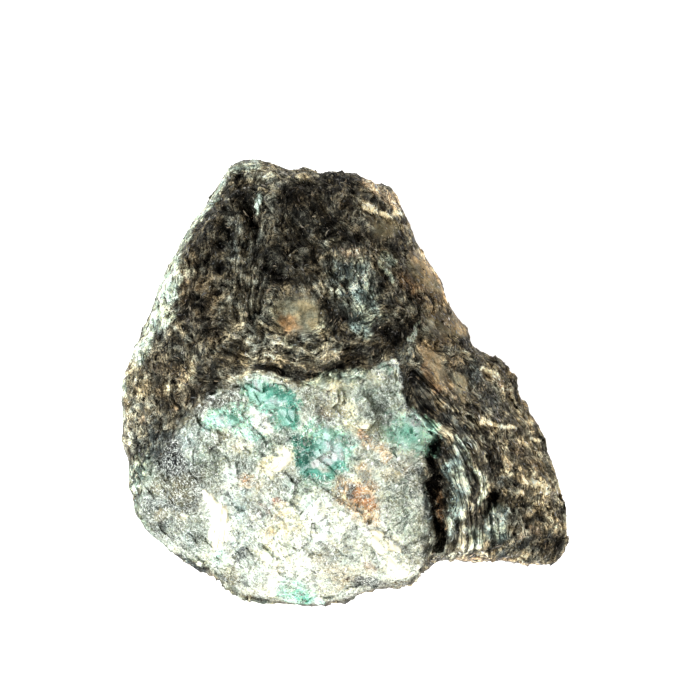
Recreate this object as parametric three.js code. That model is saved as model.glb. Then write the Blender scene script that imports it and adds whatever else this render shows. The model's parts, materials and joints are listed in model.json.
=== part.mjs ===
// A raw emerald: one broken lump of dark mica schist that holds a pale pod of feldspar, quartz and green beryl.
// The lump lies on its flat cleavage face. +Z is up, out of the face with the pod. +Y runs to the narrow end.
// The origin is at the middle of the bounding box in X and Y, on the surface that the lump lies on.
// Every size and place is in millimetres.
import * as THREE from "three";
import { ImprovedNoise } from "three/addons/math/ImprovedNoise.js";
import { mergeVertices } from "three/addons/utils/BufferGeometryUtils.js";

// Driving dimensions of the lump.
const FACE_HEIGHT = 30;
const WIDEST_HEIGHT = 13.5;
const WIDEST_WANDER = { height: 4.5, length: 17 };
const UPPER_DRAFT = 2.6;
const LOWER_DRAFT = 2.2;
const DRAFT_CURVE = 1.5;
const EDGE_ROUNDING = 0.8;
const REST_CUT = 0.5;

// How finely the ball that becomes the lump is divided, and how flat that ball starts.
const BALL_DETAIL = 20;
const BALL_FLATNESS = 0.68;
const INNER_POINT = new THREE.Vector3(0, -3, 15);

// The outline of the lump at its widest, clockwise from the left of its narrow end.
const OUTLINE = [
  [-13.5, 25.4], [-12.2, 26], [-9.6, 26], [-8, 25.4], [-6.2, 24.8], [-4.8, 25.3], [-3, 24.8], [0, 25],
  [1.4, 24.6], [3.3, 23.6], [4.8, 23.4], [5.8, 22.4], [6.4, 20.6], [7.6, 19], [8.2, 17], [10.2, 13.5],
  [11.6, 11.6], [12.4, 9.5], [14.8, 6.2], [14.9, 4.8], [17, 3.3], [19.1, 2.2], [20.2, 0.5], [21.8, -2.8],
  [24.2, -8], [25, -12], [26, -15.8], [26, -18.5], [25.6, -20.2], [24.4, -20.9], [22.3, -21.2], [18, -20.7],
  [13.6, -20.8], [11.3, -21.1], [9.7, -22], [8.1, -23.3], [6.7, -24], [4.2, -24.3], [1.9, -25], [0.1, -25.9],
  [-6.3, -26], [-10.3, -25.7], [-12.3, -25], [-15.6, -22], [-17.4, -21.4], [-21.8, -18.7], [-24.2, -16],
  [-24.8, -14.6], [-24.6, -13.2], [-25.9, -8.4], [-26, -4.9], [-26, 0], [-25.4, 1.9], [-22.9, 7.1],
  [-20.6, 13], [-18.4, 17.6], [-15.4, 22.2],
];

// The edge of the pale pod in the front face, clockwise from its left end. It runs out past the lower outline.
const POD_EDGE = [
  [-24.5, -14], [-22.5, -10], [-20.5, -7.4], [-17.4, -3.8], [-14.6, -1.4], [-11.4, 0.8], [-8, 0.4], [-5, -0.1],
  [-1.6, 0.1], [2, 1.1], [6, 2.6], [7.4, 0.6], [8.4, -2.2], [10.2, -5], [10.4, -7], [8.4, -8.6], [9, -12],
  [9, -16], [8.6, -19], [7.4, -24], [6, -30], [-26, -30],
];

// Planes that bound the lump from above, each as a point on it and its slopes along X and Y.
const FRONT_PLANES = {
  upperFace: { at: [0, 6, FACE_HEIGHT], slope: [0.03, -0.15] },
  podFace: { at: [-3, -10, FACE_HEIGHT - 0.5], slope: [0.26, 0.24] },
  lowerPodFace: { at: [2, -15, FACE_HEIGHT - 0.8], slope: [-0.04, 0.5] },
  upperRightFlank: { at: [6, 11.5, FACE_HEIGHT - 0.9], slope: [-2.4, -1.25] },
  lowerRightFlank: { at: [12.4, -5, FACE_HEIGHT - 0.9], slope: [-1.05, -0.6] },
  rightFoot: { at: [14.4, -15, FACE_HEIGHT - 2.6], slope: [-0.8, 0.2] },
  lowerLeftFlank: { at: [-15.5, -8, FACE_HEIGHT - 3], slope: [0.86, 0.16] },
  upperLeftBevel: { at: [-18.2, 13, FACE_HEIGHT - 2.2], slope: [2, -0.95] },
  narrowEndBevel: { at: [-4, 22.6, FACE_HEIGHT - 4.2], slope: [0.1, -1.8] },
  leftFoot: { at: [-20, -15, FACE_HEIGHT - 9.5], slope: [0.7, 0.75] },
  lowerEdgeBevel: { at: [-12, -23, FACE_HEIGHT - 9.5], slope: [0.2, 1.5] },
};

// Planes that bound it from below, in the same form. The rest face cuts the lowest of them off.
const BACK_PLANES = {
  cleavage: { at: [0, 0, -REST_CUT], slope: [0.012, -0.02] },
  right: { at: [9, 1, 0], slope: [0.26, 0.1] },
  left: { at: [-11, 2, 0], slope: [-0.3, 0.1] },
  lower: { at: [-2, -12, 0], slope: [0.05, -0.34] },
  narrowEnd: { at: [-3, 10, 0], slope: [-0.07, 0.25] },
  lowerRight: { at: [9, -12, 0], slope: [0.2, -0.26] },
  lowerLeft: { at: [-12, -12, 0], slope: [-0.36, -0.3] },
};

// Chips broken off the flanks, each as the way it faces and how far it starts under the widest line.
// Those that face up start over that line instead.
const CHIPS = [
  { facing: [-0.86, 0.3, -0.42], start: 1 },
  { facing: [-0.62, 0.5, -0.6], start: 4 },
  { facing: [-0.72, -0.5, -0.48], start: 0.5 },
  { facing: [-0.35, -0.8, -0.48], start: 2 },
  { facing: [0.1, -0.86, -0.5], start: 0.5 },
  { facing: [0.4, -0.8, -0.46], start: 0 },
  { facing: [0.66, -0.5, -0.56], start: 2.5 },
  { facing: [0.86, 0.1, -0.5], start: 0.5 },
  { facing: [0.7, 0.56, -0.44], start: 0 },
  { facing: [0.4, 0.76, -0.5], start: 2 },
  { facing: [-0.1, 0.88, -0.46], start: 1 },
  { facing: [-0.5, 0.76, -0.42], start: 0.5 },
  { facing: [0.86, -0.2, 0.46], start: 1.5 },
  { facing: [-0.84, -0.1, 0.5], start: 2.5 },
  { facing: [-0.3, -0.84, 0.44], start: 2 },
];

// Long features of the front face. Each follows its points, rises by its height and fades over its width.
const FOLDS = {
  cleftBesidePod: { points: [[9.8, -8], [10.7, -11], [10.6, -14], [10.6, -17]], height: -2.2, width: 2.2 },
  foldedCrest: {
    points: [[7.2, 3.6], [9.8, -1.6], [12.4, -4.6], [14, -8.6], [14.2, -13], [13.2, -18]],
    height: 1.2,
    width: 2.2,
  },
  grooveAtNarrowEnd: { points: [[-11.6, 22.2], [-11, 18.5], [-10.4, 14.6]], height: -1, width: 1.8 },
  ribBesideGroove: { points: [[-8.8, 22], [-8.8, 18], [-9.3, 13.6]], height: 0.6, width: 1.8 },
  notchUnderCrest: { points: [[14.6, -15.5], [16.4, -13.8], [18.4, -13]], height: -1.2, width: 1.8 },
  furrowBesideBoss: { points: [[2.2, 13.4], [4.4, 8], [6.2, 5.6]], height: -0.8, width: 1.8 },
};

// Round swells and hollows of the front face.
const SWELLS = {
  boss: { at: [-2.8, 8], radius: 7.5, height: 1.3 },
  hollowAtNarrowEnd: { at: [-2.4, 19.6], radius: 4.2, height: -1 },
  hollowAtLeftBevel: { at: [-15.5, 14], radius: 5, height: -0.7 },
  podMiddle: { at: [-3, -12], radius: 8, height: 1.2 },
  podLowerRight: { at: [5.4, -19], radius: 4.2, height: 0.9 },
  podUpperLeft: { at: [-9.6, -3.4], radius: 3.2, height: 0.9 },
  rightFootKnob: { at: [20.5, -16.5], radius: 3.6, height: 0.9 },
  quartzKnob: { at: [10.2, 6.2], radius: 2.8, height: 0.8 },
};

// The step down from the schist to the pod. It is highest along the pod's upper edge and least at its ends.
const POD_STEP = 2.2;
const POD_STEP_RUN = 2.8;
const POD_STEP_ALONG_Y = { from: -13, to: -1, least: 0.25 };
const POD_STEP_ALONG_X = { from: -20, to: -11, least: 0.3 };

// Ledges where the schist's layers end on the right flank.
const LEDGE_SPACING = 5.4;
const LEDGE_HEIGHT = 1.1;
const LEDGE_RISE = 0.24;
const LEDGE_ACROSS = [0.36, 0.93];
const FLANK_START = { from: 9, to: 15, leanOnY: 0.45 };

// Broken surfaces are uneven at two scales. The features of the front fade out where the surface turns steep.
const ROUGHNESS = [
  { size: 9, height: 0.54 },
  { size: 3.4, height: 0.27 },
];
const ROUGH_FROM_HEIGHT = [0.5, 3];
const FRONT_FACES_UP = [0, 0.7];

const noise = new ImprovedNoise();

function smoothstep(low, high, value) {
  return THREE.MathUtils.smoothstep(value, low, high);
}

// A share that grows from its least to 1 between two places.
function fadeAlong({ from, to, least }, place) {
  return least + (1 - least) * smoothstep(from, to, place);
}

function bellCurve(distance, width) {
  return Math.exp(-((distance / width) ** 2));
}

// The smaller of two values, rounded where they meet.
function softMin(a, b) {
  const overlap = Math.max(EDGE_ROUNDING - Math.abs(a - b), 0) / EDGE_ROUNDING;
  return Math.min(a, b) - (overlap * overlap * EDGE_ROUNDING) / 4;
}

function softMax(a, b) {
  return -softMin(-a, -b);
}

function smoothLoop(points, divisions) {
  const corners = points.map(([x, y]) => new THREE.Vector3(x, y, 0));
  return new THREE.CatmullRomCurve3(corners, true, "catmullrom", 0.5).getPoints(divisions);
}

function distanceToSpan(x, y, [ax, ay], [bx, by]) {
  const along = ((x - ax) * (bx - ax) + (y - ay) * (by - ay)) / ((bx - ax) ** 2 + (by - ay) ** 2);
  const t = THREE.MathUtils.clamp(along, 0, 1);
  return Math.hypot(x - ax - t * (bx - ax), y - ay - t * (by - ay));
}

function distanceToPath(x, y, points) {
  let nearest = Infinity;
  for (let i = 1; i < points.length; i++) {
    nearest = Math.min(nearest, distanceToSpan(x, y, points[i - 1], points[i]));
  }
  return nearest;
}

// Signed distance from (x, y) to a closed loop, negative inside.
function distanceToLoop(x, y, loop) {
  let nearest = Infinity;
  let inside = false;
  for (let i = 1; i < loop.length; i++) {
    const a = loop[i - 1];
    const b = loop[i];
    nearest = Math.min(nearest, distanceToSpan(x, y, [a.x, a.y], [b.x, b.y]));
    const crosses = a.y > y !== b.y > y;
    if (crosses && x < a.x + ((b.x - a.x) * (y - a.y)) / (b.y - a.y)) inside = !inside;
  }
  return inside ? -nearest : nearest;
}

const outlineLoop = smoothLoop(OUTLINE, 400);
const podLoop = smoothLoop(POD_EDGE, 160);

function planeHeight({ at, slope }, x, y) {
  return at[2] + slope[0] * (x - at[0]) + slope[1] * (y - at[1]);
}

function frontHeight(x, y) {
  const heights = Object.values(FRONT_PLANES).map((plane) => planeHeight(plane, x, y));
  return heights.reduce(softMin);
}

function backHeight(x, y) {
  const heights = Object.values(BACK_PLANES).map((plane) => planeHeight(plane, x, y));
  return heights.reduce(softMax);
}

// The height at which the lump is widest wanders up and down along its flanks.
function widestHeight(x, y) {
  const { height, length } = WIDEST_WANDER;
  return WIDEST_HEIGHT + height * noise.noise(x / length, y / length, 0.3);
}

// How far the flank stands back from the outline at a height over or under the widest line.
function flankInset(z, widest) {
  const above = Math.max(z - widest, 0) / (FACE_HEIGHT - widest);
  const below = Math.max(widest - z, 0) / widest;
  return UPPER_DRAFT * above ** DRAFT_CURVE + LOWER_DRAFT * below ** DRAFT_CURVE;
}

// A chip's plane, set so that it meets the outline where the chip starts.
function chipPlane({ facing, start }) {
  const normal = new THREE.Vector3(...facing).normalize();
  let reach = -Infinity;
  for (const { x, y } of outlineLoop) {
    const height = widestHeight(x, y) + Math.sign(normal.z) * start;
    reach = Math.max(reach, normal.dot(new THREE.Vector3(x, y, height)));
  }
  return new THREE.Plane(normal, -reach);
}

const chipPlanes = CHIPS.map(chipPlane);

// Negative inside the lump before its front face is sculpted, zero on its surface.
function plainLump(point) {
  const { x, y, z } = point;
  let value = distanceToLoop(x, y, outlineLoop) + flankInset(z, widestHeight(x, y));
  for (const plane of chipPlanes) value = softMax(value, plane.distanceToPoint(point));
  value = softMax(value, z - frontHeight(x, y));
  return softMax(value, backHeight(x, y) - z);
}

// The surface point in one direction from the inner point: steps outwards, then halves the step that crosses.
function surfacePoint(direction) {
  const step = 1.5;
  const halvings = 16;
  const point = new THREE.Vector3();
  const pointAt = (distance) => point.copy(INNER_POINT).addScaledVector(direction, distance);
  let outside = step;
  while (plainLump(pointAt(outside)) < 0) outside += step;
  let inside = outside - step;
  for (let i = 0; i < halvings; i++) {
    const middle = (inside + outside) / 2;
    if (plainLump(pointAt(middle)) < 0) inside = middle;
    else outside = middle;
  }
  return pointAt(inside);
}

// How far the ledges of the right flank stand out at (x, y).
function ledgeHeight(x, y) {
  const onFlank = smoothstep(FLANK_START.from, FLANK_START.to, x + FLANK_START.leanOnY * y);
  const ledges = (LEDGE_ACROSS[0] * x + LEDGE_ACROSS[1] * y) / LEDGE_SPACING;
  const share = ledges - Math.floor(ledges);
  const tread = share < LEDGE_RISE ? share / LEDGE_RISE : (1 - share) / (1 - LEDGE_RISE);
  return onFlank * LEDGE_HEIGHT * (tread - 0.5);
}

// How far the pod lies under the schist around it at (x, y).
function podDepth(x, y) {
  const inPod = smoothstep(-POD_STEP_RUN / 2, POD_STEP_RUN / 2, -distanceToLoop(x, y, podLoop));
  return POD_STEP * inPod * fadeAlong(POD_STEP_ALONG_Y, y) * fadeAlong(POD_STEP_ALONG_X, x);
}

// What the front face's own features add to its height at (x, y).
function featureHeight(x, y) {
  let height = ledgeHeight(x, y) - podDepth(x, y);
  for (const fold of Object.values(FOLDS)) {
    height += fold.height * bellCurve(distanceToPath(x, y, fold.points), fold.width);
  }
  for (const swell of Object.values(SWELLS)) {
    height += swell.height * bellCurve(Math.hypot(x - swell.at[0], y - swell.at[1]), swell.radius);
  }
  return height;
}

function roughness({ x, y, z }) {
  let sum = 0;
  for (const { size, height } of ROUGHNESS) sum += height * noise.noise(x / size, y / size, z / size);
  return sum;
}

// Moves a point of the plain lump to the sculpted one. Features raise the front, roughness follows the normal.
function sculpt(point, normal) {
  const facingUp = smoothstep(...FRONT_FACES_UP, normal.z);
  point.addScaledVector(normal, roughness(point) * smoothstep(...ROUGH_FROM_HEIGHT, point.z));
  point.z += featureHeight(point.x, point.y) * facingUp;
  // The rest face is exactly flat.
  point.z = Math.max(point.z, 0);
}

function lumpGeometry() {
  const ball = new THREE.IcosahedronGeometry(1, BALL_DETAIL);
  ball.deleteAttribute("normal");
  ball.deleteAttribute("uv");
  const geometry = mergeVertices(ball, 1e-4);
  const position = geometry.getAttribute("position");
  const point = new THREE.Vector3();
  const normal = new THREE.Vector3();
  for (let i = 0; i < position.count; i++) {
    point.fromBufferAttribute(position, i);
    point.z *= BALL_FLATNESS;
    const { x, y, z } = surfacePoint(point.normalize());
    position.setXYZ(i, x, y, z);
  }
  geometry.computeVertexNormals();
  const normals = geometry.getAttribute("normal");
  for (let i = 0; i < position.count; i++) {
    point.fromBufferAttribute(position, i);
    sculpt(point, normal.fromBufferAttribute(normals, i));
    position.setXYZ(i, point.x, point.y, point.z);
  }
  geometry.computeBoundingBox();
  const middle = geometry.boundingBox.getCenter(new THREE.Vector3());
  geometry.translate(-middle.x, -middle.y, 0);
  geometry.computeVertexNormals();
  return geometry;
}

const schist = new THREE.MeshStandardMaterial({ color: 0x3a3833, roughness: 0.55, metalness: 0 });

const stone = new THREE.Mesh(lumpGeometry(), schist);
stone.name = "raw_emerald_stone";

const part = new THREE.Group();
part.add(stone);

export default part;
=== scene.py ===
import itertools
import json
import math

import bpy
import numpy as np
from bpy.props import FloatProperty, FloatVectorProperty, IntProperty, PointerProperty
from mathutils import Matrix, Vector

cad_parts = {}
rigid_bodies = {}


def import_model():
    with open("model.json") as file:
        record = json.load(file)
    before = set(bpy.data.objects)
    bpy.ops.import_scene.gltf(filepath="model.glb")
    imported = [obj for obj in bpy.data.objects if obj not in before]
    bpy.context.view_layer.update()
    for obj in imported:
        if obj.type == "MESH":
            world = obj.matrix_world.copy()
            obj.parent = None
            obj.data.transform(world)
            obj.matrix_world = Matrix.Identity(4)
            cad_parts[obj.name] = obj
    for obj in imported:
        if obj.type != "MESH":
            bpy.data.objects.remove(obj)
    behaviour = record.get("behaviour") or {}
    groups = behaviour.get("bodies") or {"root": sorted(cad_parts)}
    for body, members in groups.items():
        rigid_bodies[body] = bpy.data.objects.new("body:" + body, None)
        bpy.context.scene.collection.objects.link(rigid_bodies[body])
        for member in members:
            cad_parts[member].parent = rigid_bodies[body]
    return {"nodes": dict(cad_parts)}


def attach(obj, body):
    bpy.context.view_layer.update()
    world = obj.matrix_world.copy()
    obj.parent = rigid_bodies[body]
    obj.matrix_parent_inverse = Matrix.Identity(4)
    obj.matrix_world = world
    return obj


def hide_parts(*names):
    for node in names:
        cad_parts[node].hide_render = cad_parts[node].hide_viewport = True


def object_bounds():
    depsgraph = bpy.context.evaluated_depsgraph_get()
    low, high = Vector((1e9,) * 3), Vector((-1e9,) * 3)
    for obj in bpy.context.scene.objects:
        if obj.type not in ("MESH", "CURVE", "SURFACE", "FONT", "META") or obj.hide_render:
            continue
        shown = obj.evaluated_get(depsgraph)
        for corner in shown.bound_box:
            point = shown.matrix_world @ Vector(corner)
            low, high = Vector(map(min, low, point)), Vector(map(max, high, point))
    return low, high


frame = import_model()
CAD_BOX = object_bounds()

bl_info = {
    "name": "Raw emerald",
    "version": (1, 0, 0),
    "blender": (4, 5, 0),
    "location": "View3D > Sidebar > Raw emerald",
    "description": "A broken lump of dark mica schist with a pale pod of feldspar, quartz and green beryl",
    "category": "Object",
}

# Sizes in this file are in millimetres, in the frame of the solid. Meshes are scaled to metres when they are made.
MM = 0.001
BODY = "root"
LUMP = "raw_emerald_stone"
FORM = "broken_form"

# The edge of the pale pod in the front face, clockwise from its left end.
POD_EDGE = [
    (-23.9, -14.2), (-22.6, -10), (-20.5, -7), (-17.6, -3.4), (-14.8, -1.2), (-11.8, 0.9), (-9.6, 1.3),
    (-7.6, 0.7), (-5, -0.3), (-1.6, 0), (2, 0.9), (4, 2.4), (5.8, 2.6), (6.3, 0.4), (6.9, -2.4), (9.2, -4.2),
    (10.1, -6.4), (8.8, -8.4), (9.1, -12), (9.6, -15.5), (9.2, -19), (8.6, -21.6), (6.4, -23.2), (3.6, -23.6),
    (1, -24.8), (-1.8, -25.2), (-6.3, -25.3), (-10.3, -25), (-12.6, -24), (-15.8, -21.2), (-17.8, -20.5),
    (-21.4, -18.1), (-23.4, -15.8),
]
POD_SINK = 1.6
SINK_RUN = (0.1, 0.9)

# Narrow features of the schist: the points that each follows, its rise and the width over which it fades.
CREASES = {
    "cleft beside the pod": ([(10.2, -6.8), (9.8, -8.4), (10.5, -10.2), (10, -12), (10.8, -13.6), (10.5, -15.2),
                              (11.5, -17), (11.2, -18.6)], -2.0, 0.7),
    "groove at the narrow end": ([(-11.8, 23.4), (-11.5, 21.2), (-10.8, 19.6), (-10.2, 17.8)], -1.5, 0.65),
    "rib beside the groove": ([(-9.9, 24.6), (-9.6, 21), (-9.8, 18.6)], 0.5, 0.5),
    "notch under the crest": ([(17.2, -12.6), (16.4, -13.6), (16.2, -14.6)], -1.3, 0.5),
    "hollow beside the boss": ([(4.2, 7.2), (5.2, 5.6), (6.3, 4.4)], -1.1, 1.0),
    "furrow over the boss": ([(-2.2, 14.2), (-0.8, 15.8), (0.8, 16.4), (2.2, 17)], -0.6, 0.5),
    "furrow over the pod": ([(-8.4, 2), (-6, 1.3), (-3, 1.2), (-0.8, 2), (0.8, 3)], -0.7, 0.45),
    "edge over the pod": ([(-8.6, 3.4), (-5.6, 2.7), (-3, 2.5), (-0.6, 3.3)], 0.5, 0.6),
}

# Ledges of the right flank: the line that each follows, the drop below it and the run of that drop.
LEDGES = {
    "high": ([(14.9, 3.2), (16.8, 1.4), (18.6, -0.2), (19.6, -1.8)], 0.8, 0.3),
    "upper": ([(15.4, -4.1), (17, -4.6), (19.4, -5.2), (22, -6.2)], 0.9, 0.3),
    "middle": ([(18.6, -9.6), (20.4, -10.8), (22, -11.5), (24.2, -13)], 1.0, 0.3),
    "lower": ([(17.8, -12), (19.6, -12.8), (21.2, -13.6), (23.4, -14)], 0.8, 0.3),
    "foot": ([(16.4, -19.3), (18.2, -18.4), (20.4, -17.8), (23.2, -17.6)], 0.8, 0.3),
}

# Stretches of the outline that remeshing wears back or the relief builds up, and how far they are moved out.
SWELLS = {
    "shoulder": ([(18.8, 2), (20, 0.4)], 0.8, 1.4),
    "right edge": ([(22.8, -5.4), (24.3, -8.8), (26, -14)], 0.7, 2.2),
    "lower edge": ([(-1, -25.8), (4.3, -24.2), (8.4, -23.1), (11, -21.4)], -0.6, 2.4),
    "left corner": ([(-25.1, -9.1)], -0.7, 1.6),
    "narrow end": ([(-2.4, 24.6), (0, 25), (4, 23.6)], -0.5, 1.4),
    "lower left": ([(-23.6, -16.5), (-21.9, -18.4)], -0.5, 1.4),
}

FOLD_CREST = [(6.6, 4.4), (10.1, -2), (13, -5.5), (14.7, -10.2), (15.3, -13.7), (14.5, -18.4), (13, -20.7)]
LEFT_EDGE = [(-12.6, 24.6), (-16.8, 18), (-19.6, 12), (-21.8, 7.4), (-24.8, 0.6), (-25.4, -5)]
POD_BROW = [(-14, 4), (-8, 2.2), (-3, 1.6), (0, 2.6), (4, 5)]

# Smooth quartz lenses in the schist.
LENSES = {
    "below the tan corner": [(3, 18.8), (4.2, 19.2), (6.2, 19), (6.4, 17), (5.1, 16.5), (3.6, 16.8)],
    "wedge on the right edge": [(7.9, 15.9), (8.8, 15.9), (10.4, 13.6), (12.2, 10.4), (12.7, 8.9), (11.6, 9.3),
                                (10.4, 10.3), (8.8, 11.3), (7.5, 12.2), (7.2, 13.6)],
    "under the wedge": [(9, 8), (10.6, 8.3), (12.6, 7.8), (14.6, 6.4), (14.6, 5.3), (13, 5.2), (11, 4.9), (9.4, 5.4)],
    "beside the hollow": [(8.4, 4.2), (9.8, 4.4), (11, 3.4), (11.9, 1.2), (12, 0.1), (10.8, -0.2), (9.7, 0.6),
                          (8.9, 2.2)],
    "on the boss": [(-8, 8.7), (-6.8, 9.9), (-5.1, 10.4), (-3.2, 9.9), (-2.3, 8.1), (-3, 6.4), (-5.2, 5.4),
                    (-7.4, 6)],
    "round one on the flank": [(12.2, 0.2), (12.6, 1.4), (13.6, 1.5), (14.1, 0.6), (14.6, -1.2), (13.4, -1.8),
                               (12.6, -0.8)],
    "at the foot": [(12.6, -20.3), (14.6, -19.9), (16.4, -20.1), (16, -20.9), (14.2, -21)],
}

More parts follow.
